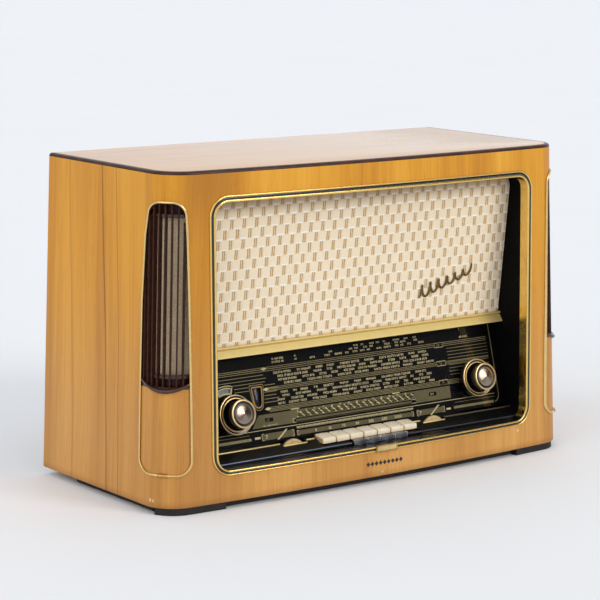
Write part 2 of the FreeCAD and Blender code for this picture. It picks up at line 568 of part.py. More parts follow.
# ---------------------------------------------------------------- 7 rear: sockets, selector, cover
SOCK_Z = 34.0
sock_x = (-182.0, -163.0, -131.0, -112.0)
blocks = []
for x in sock_x:
    b = box(x - 9.3, x + 9.3, -24.0, -4.0, 22.0, 46.0)
    b = fillet(b, 2.0, lambda e: abs(e.Vertexes[0].Point.y - e.Vertexes[-1].Point.y) > 10)
    blocks.append(b.cut(cyl((x, -18.0, SOCK_Z), (0, 1, 0), 2.0, 20.0)))
nodes["socket_panel"] = Part.makeCompound(blocks)
sel = box(132, 172, -26.0, -20.0, 16.0, 56.0)
sel = sel.fuse(cyl((152, -21, 36), (0, 1, 0), 17.0, 16.0))
sel = sel.cut(box(150.5, 153.5, -9, -3, 26, 46))
nodes["voltage_selector"] = biggest(sel)

def inner_half(z):
    return half_width(z) - WALL

zb, zt = 10.4, CASE_H - 8.4
cover = Part.Face(Part.makePolygon([V(-inner_half(zb) + 0.5, -6.0, zb), V(inner_half(zb) - 0.5, -6.0, zb), V(inner_half(zt) - 0.5, -6.0, zt), V(-inner_half(zt) + 0.5, -6.0, zt), V(-inner_half(zb) + 0.5, -6.0, zb)])).extrude(V(0, 3.0, 0))
holes = []
for j in range(5):
    zc = 120.0 + j * 12.0
    for i in range(15):
        xc = -224.0 + i * 32.0
        h = box(xc - 10.0, xc + 10.0, -10, 2, zc - 2.2, zc + 2.2)
        holes.append(h)
for j in range(7):
    zc = 232.0 + j * 16.0
    for i in range(15):
        xc = -224.0 + i * 32.0
        holes.append(box(xc - 10.0, xc + 10.0, -10, 2, zc - 2.2, zc + 2.2))
cover = cover.cut(Part.makeCompound(holes))
cover = cover.cut(box(-202.5, -89.5, -10, 2, 19.5, 48.5))
cover = cover.cut(cyl((152, -10, 36), (0, 1, 0), 18.5, 20))
cover = cover.cut(cyl((216, -10, 26), (0, 1, 0), 7.05, 20))
screw_z = (30.0, 142.0, 254.0, 366.0)
screw_pts = []
for z in screw_z:
    for sx in (-1, 1):
        screw_pts.append((sx * (inner_half(z) - 7.0), z))
for x, z in screw_pts:
    cover = cover.cut(cyl((x, -10, z), (0, 1, 0), 2.1, 20))
nodes["back_cover"] = biggest(cover)

battens = []
for sx in (-1, 1):
    quads = []
    for z in (12.0, CASE_H - 10.0):
        xo = sx * (inner_half(z) - 0.1)
        xi = sx * (inner_half(z) - 13.0)
        quads.append(Part.makePolygon([V(xo, -22, z), V(xi, -22, z), V(xi, -6.1, z), V(xo, -6.1, z), V(xo, -22, z)]))
    b = Part.makeLoft(quads, True, True)
    for x, z in screw_pts:
        if x * sx > 0:
            b = b.cut(cyl((x, -16.1, z), (0, 1, 0), 1.75, 12))
    battens.append(b)
nodes["back_battens"] = Part.makeCompound(battens)

screws = []
for x, z in screw_pts:
    sc = fuse([cyl((x, -15.5, z), (0, 1, 0), 1.7, 12.6), cyl((x, -2.95, z), (0, 1, 0), 3.6, 1.4), cone((x, -1.56, z), (0, 1, 0), 3.6, 2.4, 0.8)])
    sc = sc.cut(box(x - 0.45, x + 0.45, -1.6, 1.0, z - 4, z + 4))
    screws.append(biggest(sc))
nodes["back_screws"] = Part.makeCompound(screws)

gro = fuse([cyl((216, -9.0, 26), (0, 1, 0), 9.5, 2.9), cyl((216, -9.0, 26), (0, 1, 0), 7.0, 8.0), cyl((216, -2.9, 26), (0, 1, 0), 9.5, 2.4)])
gro = gro.cut(cyl((216, -12, 26), (0, 1, 0), 3.6, 16))
nodes["cord_grommet"] = gro

# ---------------------------------------------------------------- 8 moving pieces
def revolve_profile(pts):
    f = Part.Face(Part.makePolygon([V(r, 0, z) for r, z in pts] + [V(pts[0][0], 0, pts[0][1])]))
    s = f.revolve(V(0, 0, 0), V(0, 0, 1), 360)
    if s.Volume < 0:
        s.reverse()
    return s


def knob_inner(tail):
    # small knob: drum with a rounded rim and a shallow cone face, on a solid shaft
    pts = [(0, 12.6), (3.0, 12.6), (3.0, 13.9), (15.6, 13.9), (16.2, 14.5), (16.6, 25.2), (17.6, 26.0), (17.75, 27.2), (16.8, 28.4), (15.6, 28.6), (14.4, 27.6), (12.5, 27.3), (12.3, 27.8), (0, 30.2)]
    k = revolve_profile(pts)
    k = k.fuse(Part.makeCylinder(3.0, 12.7 + tail, V(0, 0, -tail), V(0, 0, 1)))
    return k


def knob_outer(tail):
    # large ring knob on a hollow shaft
    pts = [(5.5, 1.2), (22.0, 1.2), (22.8, 2.0), (23.4, 9.6), (24.5, 10.4), (24.7, 11.6), (23.8, 12.9), (22.6, 13.1), (21.6, 12.2), (20.6, 12.0), (20.2, 12.7), (19.2, 12.7), (18.8, 11.6), (18.0, 10.2), (5.5, 10.2)]
    k = revolve_profile(pts)
    sleeve_ = Part.makeCylinder(5.0, 11.0 + tail, V(0, 0, -tail), V(0, 0, 1))
    k = k.fuse(Part.makeCylinder(5.6, 9.0, V(0, 0, 1.2), V(0, 0, 1)))
    k = k.fuse(sleeve_)
    k = k.cut(Part.makeCylinder(3.06, 60, V(0, 0, -40), V(0, 0, 1)))
    return k


def place_knob(k, x):
    k = k.copy()
    k.translate(V(x, KNOB_S, 0))
    return on_dial(k)


vol = knob_inner(28.0)
nodes["volume_knob"] = place_knob(vol, -KNOB_X)
ant = knob_outer(16.0)
ant = ant.fuse(ring((0, 0, -16.0), (0, 0, 1), 8.0, 4.5, 3.4))
ant = ant.fuse(ring((0, 0, -6.4), (0, 0, 1), 36.0, 4.5, 1.0))
ant = ant.cut(Part.makeCylinder(3.06, 60, V(0, 0, -40), V(0, 0, 1)))
nodes["antenna_knob"] = place_knob(ant, -KNOB_X)
am = knob_inner(27.0)
am = am.fuse(Part.makeCylinder(26.0, 8.0, V(0, 0, -26.5), V(0, 0, 1)))
nodes["am_tuning_knob"] = place_knob(am, KNOB_X)
fm = knob_outer(16.0)
fm = fm.fuse(ring((0, 0, -16.0), (0, 0, 1), 9.0, 4.5, 3.4))
fm = fm.cut(Part.makeCylinder(3.06, 60, V(0, 0, -40), V(0, 0, 1)))
nodes["fm_tuning_knob"] = place_knob(fm, KNOB_X)

# pointers: a carriage on the guide rod and a thin blade
AM_X0, FM_X0 = 118.0, 104.0
amp = fuse([Part.makeBox(12, 8, 4.6, V(AM_X0 - 6, 104, -8.9)), Part.makeBox(1.4, 68, 0.9, V(AM_X0 - 0.7, 37, -5.2))])
amp = amp.cut(Part.makeCylinder(1.55, 30, V(AM_X0 - 15, 108, -6.6), V(1, 0, 0)))
nodes["am_pointer"] = on_dial(biggest(amp))
fmp = fuse([Part.makeBox(12, 8, 4.6, V(FM_X0 - 6, 8, -8.9)), Part.makeBox(1.4, 20, 0.9, V(FM_X0 - 0.7, 14, -5.2))])
fmp = fmp.cut(Part.makeCylinder(1.55, 30, V(FM_X0 - 15, 12, -6.6), V(1, 0, 0)))
nodes["fm_pointer"] = on_dial(biggest(fmp))

# tone wheels: milled discs on short shafts
def tone_wheel(x):
    w = cyl((x, -246.8, WHEEL_Z), (0, 1, 0), WHEEL_R, 4.4)
    grooves = []
    for i in range(60):
        a = math.radians(i * 6.0)
        px, pz = x + math.cos(a) * (WHEEL_R + 0.25), WHEEL_Z + math.sin(a) * (WHEEL_R + 0.25)
        grooves.append(cyl((px, -248, pz), (0, 1, 0), 0.55, 8))
    w = w.cut(Part.makeCompound(grooves))
    w = w.fuse(cyl((x, -243.0, WHEEL_Z), (0, 1, 0), 3.0, 12.6))
    return biggest(w)


nodes["bass_wheel"] = tone_wheel(-WHEEL_X)
nodes["treble_wheel"] = tone_wheel(WHEEL_X)

# piano keys: a sloping cap on a lever that turns on the pivot rod
for i in range(KEY_N):
    xc = -key_half + KEY_PITCH * (i + 0.5)
    hw = (KEY_PITCH - KEY_GAP) / 2.0
    cap_ = extrude_yz([(-258.0, 45.5), (-258.0, 51.4), (-257.4, 52.2), (-240.6, 54.7), (-239.7, 54.1), (-239.7, 45.5)], xc - hw, xc + hw)
    cap_ = fillet(cap_, 1.3, lambda e: e.BoundBox.ZMin > 45.8 and e.BoundBox.XLength < 0.01 and e.BoundBox.YLength > 5)
    lever = box(xc - 5.0, xc + 5.0, -242.0, -188.0, 45.5, 48.8)
    boss = cyl((xc - 5.0, KEY_PIVOT_Y, KEY_PIVOT_Z), (1, 0, 0), 4.0, 10.0)
    k = fuse([cap_, lever, boss])
    k = k.cut(cyl((xc - 12, KEY_PIVOT_Y, KEY_PIVOT_Z), (1, 0, 0), 1.55, 24))
    nodes["piano_key_%d" % (i + 1)] = biggest(k)

# register keys: small caps on plungers
for i in range(REG_N):
    xc = reg_x0 + KEY_PITCH * (i + 0.5)
    hw = (KEY_PITCH - 1.4) / 2.0
    capr = extrude_yz([(-265.6, 38.9), (-265.6, 44.4), (-264.9, 45.2), (-259.2, 45.4), (-258.8, 45.0), (-258.8, 38.9)], xc - hw, xc + hw)
    stem = box(xc - 3.0, xc + 3.0, -264.5, -261.0, 19.5, 40.0)
    nodes["register_key_%d" % (i + 1)] = fuse([capr, stem])

# ---------------------------------------------------------------- export
SHIFT = V(0, Y_SHIFT, FOOT_H)
lo = [1e9] * 3
hi = [-1e9] * 3
for name in sorted(nodes):
    s = nodes[name].copy()
    s.translate(SHIFT)
    bad = [q for q in s.Solids if not q.isValid()]
    b = s.BoundBox
    print("%-20s solids %2d faces %4d vol %10.1f valid %s  x %.1f..%.1f y %.1f..%.1f z %.1f..%.1f" % (name, len(s.Solids), len(s.Faces), s.Volume, not bad, b.XMin, b.XMax, b.YMin, b.YMax, b.ZMin, b.ZMax))
    for k, (a, c) in enumerate(((b.XMin, b.XMax), (b.YMin, b.YMax), (b.ZMin, b.ZMax))):
        lo[k] = min(lo[k], a)
        hi[k] = max(hi[k], c)
    s.exportStep("parts/%s.step" % name)
print("box", [round(v, 2) for v in lo], [round(v, 2) for v in hi], "nodes", len(nodes))
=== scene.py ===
import math
import random

import bmesh
import bpy
from mathutils import Matrix, Vector
from mathutils.geometry import delaunay_2d_cdt


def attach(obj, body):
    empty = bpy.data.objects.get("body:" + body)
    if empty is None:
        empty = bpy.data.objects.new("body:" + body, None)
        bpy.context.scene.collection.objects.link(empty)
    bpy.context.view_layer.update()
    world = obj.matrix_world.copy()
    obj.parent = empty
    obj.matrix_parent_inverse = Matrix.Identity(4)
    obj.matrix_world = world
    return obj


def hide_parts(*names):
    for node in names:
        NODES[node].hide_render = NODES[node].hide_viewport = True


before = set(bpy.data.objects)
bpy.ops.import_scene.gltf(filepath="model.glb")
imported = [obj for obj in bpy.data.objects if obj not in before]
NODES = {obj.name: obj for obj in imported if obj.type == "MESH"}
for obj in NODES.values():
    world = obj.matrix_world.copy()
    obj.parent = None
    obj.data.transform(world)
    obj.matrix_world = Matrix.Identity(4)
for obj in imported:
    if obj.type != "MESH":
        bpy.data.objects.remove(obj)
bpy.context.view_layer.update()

scene = bpy.context.scene
random.seed(7)

# ------------------------------------------------------------------ dimensions, in mm
# Working coordinates: x = 0 on the centre line, y = 0 at the cabinet's back edge with the front
# towards -Y, z = 0 at the underside of the wooden case. W() turns them into metres in the row frame.
BOT_W, TOP_W, BOT_D, TOP_D, CASE_H = 640.0, 612.5, 283.1, 275.4, 391.3
BOW, CR, WALL = 9.5, 40.0, 10.0
OPEN_HW, OPEN_ZB, OPEN_ZT, OPEN_R = 252.6, 32.0, 365.3, 26.0
KNOB_X, KNOB_S = 192.5, 40.6
PITCH, WHEEL_X, WHEEL_Z, WHEEL_R = 21.6, 112.0, 36.4, 18.3
R2 = math.sqrt(2.0)


def W(p):
    return Vector((p[0] * 0.001, (p[1] + 143.0) * 0.001, (p[2] + 9.0) * 0.001))


def lerp(a, b, t):
    return a + (b - a) * t


def half_w(z):
    return (BOT_W + (TOP_W - BOT_W) * z / CASE_H) / 2.0


def depth(z):
    return BOT_D + (TOP_D - BOT_D) * z / CASE_H


def section(z):
    w = half_w(z)
    h = w - CR
    big = (h * h + BOW * BOW) / (2.0 * BOW)
    yc = -depth(z) + big
    ycc = yc - math.sqrt((big - CR) ** 2 - h * h)
    return w, h, big, yc, ycc, math.asin(h / (big - CR))


def skin_flat(p, z, off):
    """Point (x, y) and plan normal of the case's outline; p runs 0..5: side, corner, front, corner, side."""
    if p > 2.5:
        x, y, nx, ny = skin_flat(5.0 - p, z, off)
        return -x, y, -nx, ny
    w, h, big, yc, ycc, a_max = section(z)
    if p <= 1.0:
        return -(w - off), ycc * p, -1.0, 0.0
    if p <= 2.0:
        a = (math.pi / 2 - a_max) * (p - 1.0)
        nx, ny = -math.cos(a), -math.sin(a)
        return -h + nx * (CR - off), ycc + ny * (CR - off), nx, ny
    a = a_max * 2.0 * (p - 2.5)
    nx, ny = math.sin(a), -math.cos(a)
    return nx * (big - off), yc - math.cos(a) * (big - off), nx, ny


def skin(p, z, off=0.0):
    x, y, _, _ = skin_flat(p, z, off)
    return (x, y, z)


def skin_normal(p, z, off=0.0):
    x0, y0, nx, ny = skin_flat(p, z - 1.0, off)
    x1, y1, _, _ = skin_flat(p, z + 1.0, off)
    up = Vector((x1 - x0, y1 - y0, 2.0))
    along = Vector((-ny, nx, 0.0))
    n = along.cross(up).normalized()
    return n if n.x * nx + n.y * ny > 0 else -n


def front_y(x, z, off=0.0):
    _, _, big, yc, _, _ = section(z)
    return yc - math.sqrt((big - off) ** 2 - x * x)


SEG_LEN = [section(CASE_H / 2)[4] * -1.0, (math.pi / 2 - section(CASE_H / 2)[5]) * CR, 2 * section(CASE_H / 2)[5] * section(CASE_H / 2)[2]]


def wrap_u(p):
    """Distance along the wrap, in mm, the same at every height."""
    if p > 2.5:
        return 2 * SEG_LEN[0] + 2 * SEG_LEN[1] + SEG_LEN[2] - wrap_u(5.0 - p)
    if p <= 1.0:
        return SEG_LEN[0] * p
    if p <= 2.0:
        return SEG_LEN[0] + SEG_LEN[1] * (p - 1.0)
    return SEG_LEN[0] + SEG_LEN[1] + SEG_LEN[2] * (p - 2.0)


def p_of_x(x, z, off):
    _, _, big, _, _, a_max = section(z)
    return 2.5 + math.asin(max(-1.0, min(1.0, x / (big - off)))) / (2.0 * a_max)


def p_of_t(t, z, off):
    """The wrap's p where the left corner's diagonal coordinate is t."""
    lo, hi = 0.0, 2.4
    for _ in range(34):
        mid = (lo + hi) / 2
        x, y, _, _ = skin_flat(mid, z, off)
        if (-x + y) / R2 > t:
            lo = mid
        else:
            hi = mid
    return (lo + hi) / 2


def t_of_p(p, z, off):
    x, y, _, _ = skin_flat(p, z, off)
    return (-x + y) / R2


def p_of_side(s):
    """p of a point s mm round the left corner from where the side ends; negative is back along the side."""
    if s <= 0:
        return 1.0 + s / 240.0
    return 1.0 + (s / CR) / (math.pi / 2 - section(200.0)[5])


# the dial's and the speaker cloth's own frames: X along, U up the slope, N out of the face
DIAL = (Vector((0, -238.5, 51.5)), Vector((0, 0.26608, 0.96395)), Vector((0, -0.96395, 0.26608)))
CLOTH = (Vector((0, -216.0, 167.0)), Vector((0, -0.10540, 0.99443)), Vector((0, -0.99443, -0.10540)))


def on(fr, x, s, h=0.0):
    p = fr[0] + Vector((x, 0, 0)) + fr[1] * s + fr[2] * h
    return (p.x, p.y, p.z)


def frame_matrix(fr, x, s, h=0.0):
    o = W(on(fr, x, s, h))
    m = Matrix.Identity(4)
    for i, c in enumerate((Vector((1, 0, 0)), fr[1].normalized(), fr[2].normalized())):
        for r in range(3):
            m[r][i] = c[r]
    for r in range(3):
        m[r][3] = o[r]
    return m


# ------------------------------------------------------------------ 2-D helpers
def area2(poly):
    return sum(poly[i][0] * poly[(i + 1) % len(poly)][1] - poly[(i + 1) % len(poly)][0] * poly[i][1] for i in range(len(poly))) / 2.0


def inside(poly, x, y):
    c, j = False, len(poly) - 1
    for i in range(len(poly)):
        xi, yi = poly[i]
        xj, yj = poly[j]
        if (yi > y) != (yj > y) and x < (xj - xi) * (y - yi) / (yj - yi) + xi:
            c = not c
        j = i
    return c


def shift_edges(poly, d):
    """The polygon with every edge moved inwards by d, its corners kept sharp."""
    sign = 1.0 if area2(poly) > 0 else -1.0
    n = len(poly)
    lines = []
    for i in range(n):
        a, b = Vector(poly[i]), Vector(poly[(i + 1) % n])
        e = (b - a).normalized()
        nn = Vector((-e.y, e.x)) * sign
        lines.append((a + nn * d, e, nn))
    out = []
    for i in range(n):
        (a, e, _), (b, f, _) = lines[i - 1], lines[i]
        den = e.x * f.y - e.y * f.x
        if abs(den) < 1e-6:
            out.append((b.x, b.y))
            continue
        t = ((b.x - a.x) * f.y - (b.y - a.y) * f.x) / den
        out.append((a.x + e.x * t, a.y + e.y * t))
    return out, lines


def soften(poly, r=0.35, n=3, closed=True):
    """A profile with its corners rounded by up to r."""
    out, m = [], len(poly)
    for i in range(m):
        p = Vector(poly[i])
        if not closed and i in (0, m - 1):
            out.append(tuple(p))
            continue
        a, b = Vector(poly[i - 1]), Vector(poly[(i + 1) % m])
        la, lb = (a - p).length, (b - p).length
        if la < 1e-6 or lb < 1e-6:
            continue
        if abs((a - p).normalized().angle((b - p).normalized()) - math.pi) < 0.12:
            out.append(tuple(p))
            continue
        k = min(r, 0.42 * la, 0.42 * lb)
        s, e = p + (a - p).normalized() * k, p + (b - p).normalized() * k
        for j in range(n + 1):
            t = j / n
            q = s * (1 - t) ** 2 + p * 2 * t * (1 - t) + e * t * t
            out.append((q.x, q.y))
    return out


def path_points(poly, n, closed=True):
    """n points evenly spaced along a path."""
    pts = [Vector(p) for p in poly] + ([Vector(poly[0])] if closed else [])
    acc = [0.0]
    for a, b in zip(pts, pts[1:]):
        acc.append(acc[-1] + (b - a).length)
    out, j = [], 0
    for i in range(n):
        d = acc[-1] * i / (n if closed else n - 1)
        while j < len(acc) - 2 and acc[j + 1] < d:
            j += 1
        f = (d - acc[j]) / max(acc[j + 1] - acc[j], 1e-9)
        q = pts[j].lerp(pts[j + 1], min(1.0, max(0.0, f)))
        out.append((q.x, q.y))
    return out


# ------------------------------------------------------------------ mesh builder
class Build:
    def __init__(self):
        self.v, self.f, self.m, self.skin, self.nrm, self.uv = [], [], [], set(), {}, {}

    def vert(self, p, uv=None, normal=None):
        self.v.append((float(p[0]), float(p[1]), float(p[2])))
        i = len(self.v) - 1
        if uv is not None:
            self.uv[i] = uv
        if normal is not None:
            self.nrm[i] = normal
        return i

    def row(self, pts):
        return [self.vert(p) for p in pts]

    def face(self, idx, mat=0, skin=False):
        if len(set(idx)) < 3:
            return
        self.f.append(tuple(dict.fromkeys(idx)))
        self.m.append(mat)
        if skin:
            self.skin.add(len(self.f) - 1)

    def bridge(self, a, b, mat=0, closed=True, skin=False):
        n = len(a)
        for i in range(n if closed else n - 1):
            j = (i + 1) % n
            self.face((a[i], a[j], b[j], b[i]), mat(i) if callable(mat) else mat, skin)

    def loft(self, rings, mat=0, closed=True, loop=False, caps=True, cap_mat=None):
        """rings of points; mat(i, j) may pick a material by ring and by place along the ring."""
        idx = [self.row(r) for r in rings]
        pairs = list(zip(range(len(idx) - 1), range(1, len(idx))))
        if loop:
            pairs.append((len(idx) - 1, 0))
        for k, (a, b) in enumerate(pairs):
            self.bridge(idx[a], idx[b], (lambda i, k=k: mat(k, i)) if callable(mat) else mat, closed)
        if caps and not loop and closed:
            cm = cap_mat if cap_mat is not None else (0 if callable(mat) else mat)
            self.face(idx[0][::-1], cm)
            self.face(idx[-1], cm)
        return idx

    def solid_plate(self, outer, holes, to3, h0, h1, mat=0, side_mat=None, extra=()):
        """A flat plate with holes: outline and holes in 2-D, to3(x, y, h) places a point."""
        side_mat = mat if side_mat is None else side_mat
        pts, cons = [], []
        for loop in [outer, *holes]:
            base = len(pts)
            pts += [Vector(q) for q in loop]
            cons += [(base + i, base + (i + 1) % len(loop)) for i in range(len(loop))]
        n_loop = len(pts)
        pts += [Vector(q) for q in extra]
        vs, _, fs, _, _, _ = delaunay_2d_cdt(pts, cons, [], 0, 1e-5)
        lo = [self.vert(to3(q.x, q.y, h0)) for q in vs]
        hi = [self.vert(to3(q.x, q.y, h1)) for q in vs]
        for f in fs:
            cx = sum(vs[i].x for i in f) / len(f)
            cy = sum(vs[i].y for i in f) / len(f)
            if inside(outer, cx, cy) and not any(inside(h, cx, cy) for h in holes):
                self.face([hi[i] for i in f], mat)
                self.face([lo[i] for i in reversed(f)], mat)
        base = 0
        for loop in [outer, *holes]:
            k = len(loop)
            for i in range(k):
                a, b = base + i, base + (i + 1) % k
                self.face((lo[a], lo[b], hi[b], hi[a]), side_mat)
            base += k

    def done(self, name, mats, body="cabinet", slot=None, replaces=(), angle=34.0, matrix=None, weld=0.0, smooth=True):
        me = bpy.data.meshes.new(name)
        if matrix is None:
            me.from_pydata([W(p) for p in self.v], [], self.f)
        else:
            me.from_pydata([Vector(p) * 0.001 for p in self.v], [], self.f)
        for mt in mats:
            me.materials.append(mt)
        me.polygons.foreach_set("material_index", self.m)
        layer = me.attributes.new("tag", "INT", "FACE")
        layer.data.foreach_set("value", [1 if i in self.skin else 0 for i in range(len(self.f))])
        if self.uv:
            uv = me.uv_layers.new(name="wrap")
            for lp in me.loops:
                uv.data[lp.index].uv = self.uv.get(lp.vertex_index, (0.0, 0.0))
        bm = bmesh.new()
        bm.from_mesh(me)
        if weld:
            bmesh.ops.remove_doubles(bm, verts=bm.verts, dist=weld * 0.001)
        bmesh.ops.recalc_face_normals(bm, faces=bm.faces)
        bm.to_mesh(me)
        bm.free()
        me.polygons.foreach_set("use_smooth", [smooth] * len(me.polygons))
        if smooth:
            me.set_sharp_from_angle(angle=math.radians(angle))
        if self.nrm and not weld:
            tags = [0] * len(me.polygons)
            me.attributes["tag"].data.foreach_get("value", tags)
            normals = [(0.0, 0.0, 0.0)] * len(me.loops)
            for poly in me.polygons:
                if not tags[poly.index]:
                    continue
                for li in poly.loop_indices:
                    n = self.nrm.get(me.loops[li].vertex_index)
                    if n is not None:
                        normals[li] = tuple(n if n.dot(poly.normal) > 0 else -n)
            me.normals_split_custom_set(normals)
        me.attributes.remove(me.attributes["tag"])
        ob = bpy.data.objects.new(name, me)
        scene.collection.objects.link(ob)
        if matrix is not None:
            ob.matrix_world = matrix
        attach(ob, body)
        if replaces:
            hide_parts(*replaces)
        return ob


def revolve(profile, seg=96, mats=None):
    """Rings for a closed (r, h) profile turned about Z; mats gives a material per profile edge."""
    b = Build()
    n = len(profile)
    cols = []
    for r, h in profile:
        if r < 1e-6:
            cols.append([b.vert((0, 0, h))] * seg)
        else:
            cols.append([b.vert((r * math.cos(2 * math.pi * i / seg), r * math.sin(2 * math.pi * i / seg), h)) for i in range(seg)])
    for j in range(n):
        k = (j + 1) % n
        if profile[j][0] < 1e-6 and profile[k][0] < 1e-6:
            continue
        for i in range(seg):
            i2 = (i + 1) % seg
            b.face((cols[j][i], cols[j][i2], cols[k][i2], cols[k][i]), mats[j] if mats else 0)
    return b


def add_revolved(b, profile, seg=48, mat=0, centre=(0, 0, 0), axis="z"):
    cols = []
    for r, h in profile:
        ring_ = []
        for i in range(seg):
            a = 2 * math.pi * i / seg
            u, v = r * math.cos(a), r * math.sin(a)
            p = {"z": (u, v, h), "y": (u, h, v), "x": (h, u, v)}[axis]
            ring_.append((p[0] + centre[0], p[1] + centre[1], p[2] + centre[2]))
            if r < 1e-6:
                break
        i0 = [b.vert(q) for q in ring_]
        cols.append(i0 * seg if len(i0) == 1 else i0)
    n = len(profile)
    for j in range(n):
        k = (j + 1) % n
        if profile[j][0] < 1e-6 and profile[k][0] < 1e-6:
            continue
        for i in range(seg):
            i2 = (i + 1) % seg
            b.face((cols[j][i], cols[j][i2], cols[k][i2], cols[k][i]), mat)


def add_bar(b, profile, x0, x1, bevel=0.4, mat=0):
    """A (y, z) profile run along X with its two ends eased over."""
    rings = []
    base = area2(profile)
    for x, d in ((x0, bevel), (x0 + bevel * 0.3, bevel * 0.3), (x0 + bevel, 0.0), (x1 - bevel, 0.0), (x1 - bevel * 0.3, bevel * 0.3), (x1, bevel)):
        prof = profile
        if d > 0:
            cx = sum(q[0] for q in profile) / len(profile)
            cz = sum(q[1] for q in profile) / len(profile)
            ry = max(abs(q[0] - cx) for q in profile)
            rz = max(abs(q[1] - cz) for q in profile)
            prof = [(cx + (y - cx) * (1 - d / ry), cz + (z - cz) * (1 - d / rz)) for y, z in profile]
        rings.append([(x, y, z) for y, z in prof])
    return b.loft(rings, mat)


def add_block(b, x0, x1, y0, y1, z0, z1, r=0.5, mat=0):
    """A box with eased edges."""
    prof = soften([(y0, z0), (y1, z0), (y1, z1), (y0, z1)], r, 3)
    add_bar(b, prof, x0, x1, r, mat)


# ------------------------------------------------------------------ rounded opening and corner window outlines
def rr_path(k, nc=14, nx=30, nz=14):
    """Points round the front opening inset by k, the same number at every k, anticlockwise seen from the front."""
    hw, zb, zt = OPEN_HW - k, OPEN_ZB + 0.75 * k, OPEN_ZT - k
    r = max(OPEN_R - k, 4.0)
    pts = []
    for (cx, cz, a0) in ((hw - r, zb + r, -90), (hw - r, zt - r, 0), (-hw + r, zt - r, 90), (-hw + r, zb + r, 180)):
        for i in range(nc + 1):
            a = math.radians(a0 + 90.0 * i / nc)
            pts.append((cx + r * math.cos(a), cz + r * math.sin(a)))
        a = math.radians(a0 + 90.0)
        last = pts[-1]
        nxt = {-90: (hw, zt - r), 0: (-hw + r, zt), 90: (-hw, zb + r), 180: (hw - r, zb)}[a0]
        n = nz if a0 in (-90, 90) else nx
        for i in range(1, n):
            pts.append((lerp(last[0], nxt[0], i / n), lerp(last[1], nxt[1], i / n)))
    return pts


LOOP_PTS = [(71.8, 38.4), (70.6, 141.0), (68.6, 242.0), (64.0, 320.0), (58.0, 361.0), (11.5, 361.0), (9.3, 320.0), (7.2, 246.0), (4.2, 100.0), (3.4, 38.4)]


def loop_outline(inset, r=16.0, step=9.0):
    """The corner window's outline in (t, z), inset and with its corners rounded."""
    inner, lines = shift_edges(LOOP_PTS, r + inset)
    n = len(inner)
    pts = []
    for i in range(n):
        n0, n1 = -lines[i - 1][2], -lines[i][2]
        a0, a1 = math.atan2(n0.y, n0.x), math.atan2(n1.y, n1.x)
        d = (a1 - a0 + math.pi) % (2 * math.pi) - math.pi
        m = max(1, int(abs(d) / math.radians(7.5)))
        for j in range(m + 1):
            a = a0 + d * j / m
            pts.append((inner[i][0] + r * math.cos(a), inner[i][1] + r * math.sin(a)))
    out = []
    for i in range(len(pts)):
        a, b = Vector(pts[i]), Vector(pts[(i + 1) % len(pts)])
        if (b - a).length < 0.05:
            continue
        m = max(1, int((b - a).length / step))
        out += [tuple(a.lerp(b, j / m)) for j in range(m)]
    return out


def slot_outline(inset, z_cut, n=150, n_bot=12):
    """The grille slot's outline: the window above z_cut, from its low-t foot over the top to its high-t foot."""
    full = loop_outline(inset, step=3.0)
    ups = [p for p in full if p[1] > z_cut]
    # rotate so that the run is continuous
    k = max(range(len(full)), key=lambda i: (full[i][1] <= z_cut) and (full[(i + 1) % len(full)][1] > z_cut))
    seq = [full[(k + 1 + i) % len(full)] for i in range(len(ups))]

    def foot(a, b):
        f = (z_cut - a[1]) / (b[1] - a[1])
        return (lerp(a[0], b[0], f), z_cut)

    first = foot(full[k], seq[0])
    last = foot(full[(k + 1 + len(ups)) % len(full)], seq[-1])
    run = path_points([first, *seq, last], n, closed=False)
    bot = [(lerp(last[0], first[0], i / n_bot), z_cut) for i in range(1, n_bot)]
    return run + bot


def on_corner(t, z, off, side=-1):
    x, y, _ = skin(p_of_t(t, z, off), z, off)
    return (x if side < 0 else -x, y, z)


# ------------------------------------------------------------------ node materials
class S:
    """A socket with arithmetic."""

    def __init__(self, mat, sock):
        self.mat, self.sock = mat, sock

    def op(self, kind, *others, clamp=False):
        n = self.mat.tree.nodes.new("ShaderNodeMath")
        n.operation, n.use_clamp = kind, clamp
        for i, o in enumerate((self, *others)):
            self.mat.put(n.inputs[i], o)
        return S(self.mat, n.outputs[0])

    def __add__(self, o):
        return self.op("ADD", o)

    __radd__ = __add__

    def __sub__(self, o):
        return self.op("SUBTRACT", o)

    def __rsub__(self, o):
        return (self * -1.0) + o

    def __mul__(self, o):
        return self.op("MULTIPLY", o)

    __rmul__ = __mul__

    def __truediv__(self, o):
        return self.op("DIVIDE", o)

    def pow(self, o):
        return self.op("POWER", o)

    def abs(self):
        return self.op("ABSOLUTE")

    def sin(self):
        return self.op("SINE")

    def less(self, o):
        return self.op("LESS_THAN", o)

    def more(self, o):
        return self.op("GREATER_THAN", o)

    def min(self, o):
        return self.op("MINIMUM", o)

    def max(self, o):
        return self.op("MAXIMUM", o)

    def mod(self, o):
        return self.op("FLOORED_MODULO", o)

    def clamp(self):
        return self.op("ADD", 0.0, clamp=True)

    def step(self, a, b, lo=0.0, hi=1.0):
        n = self.mat.tree.nodes.new("ShaderNodeMapRange")
        n.interpolation_type = "SMOOTHSTEP"
        self.mat.put(n.inputs[0], self)
        for i, v in enumerate((a, b, lo, hi)):
            self.mat.put(n.inputs[i + 1], v)
        return S(self.mat, n.outputs[0])


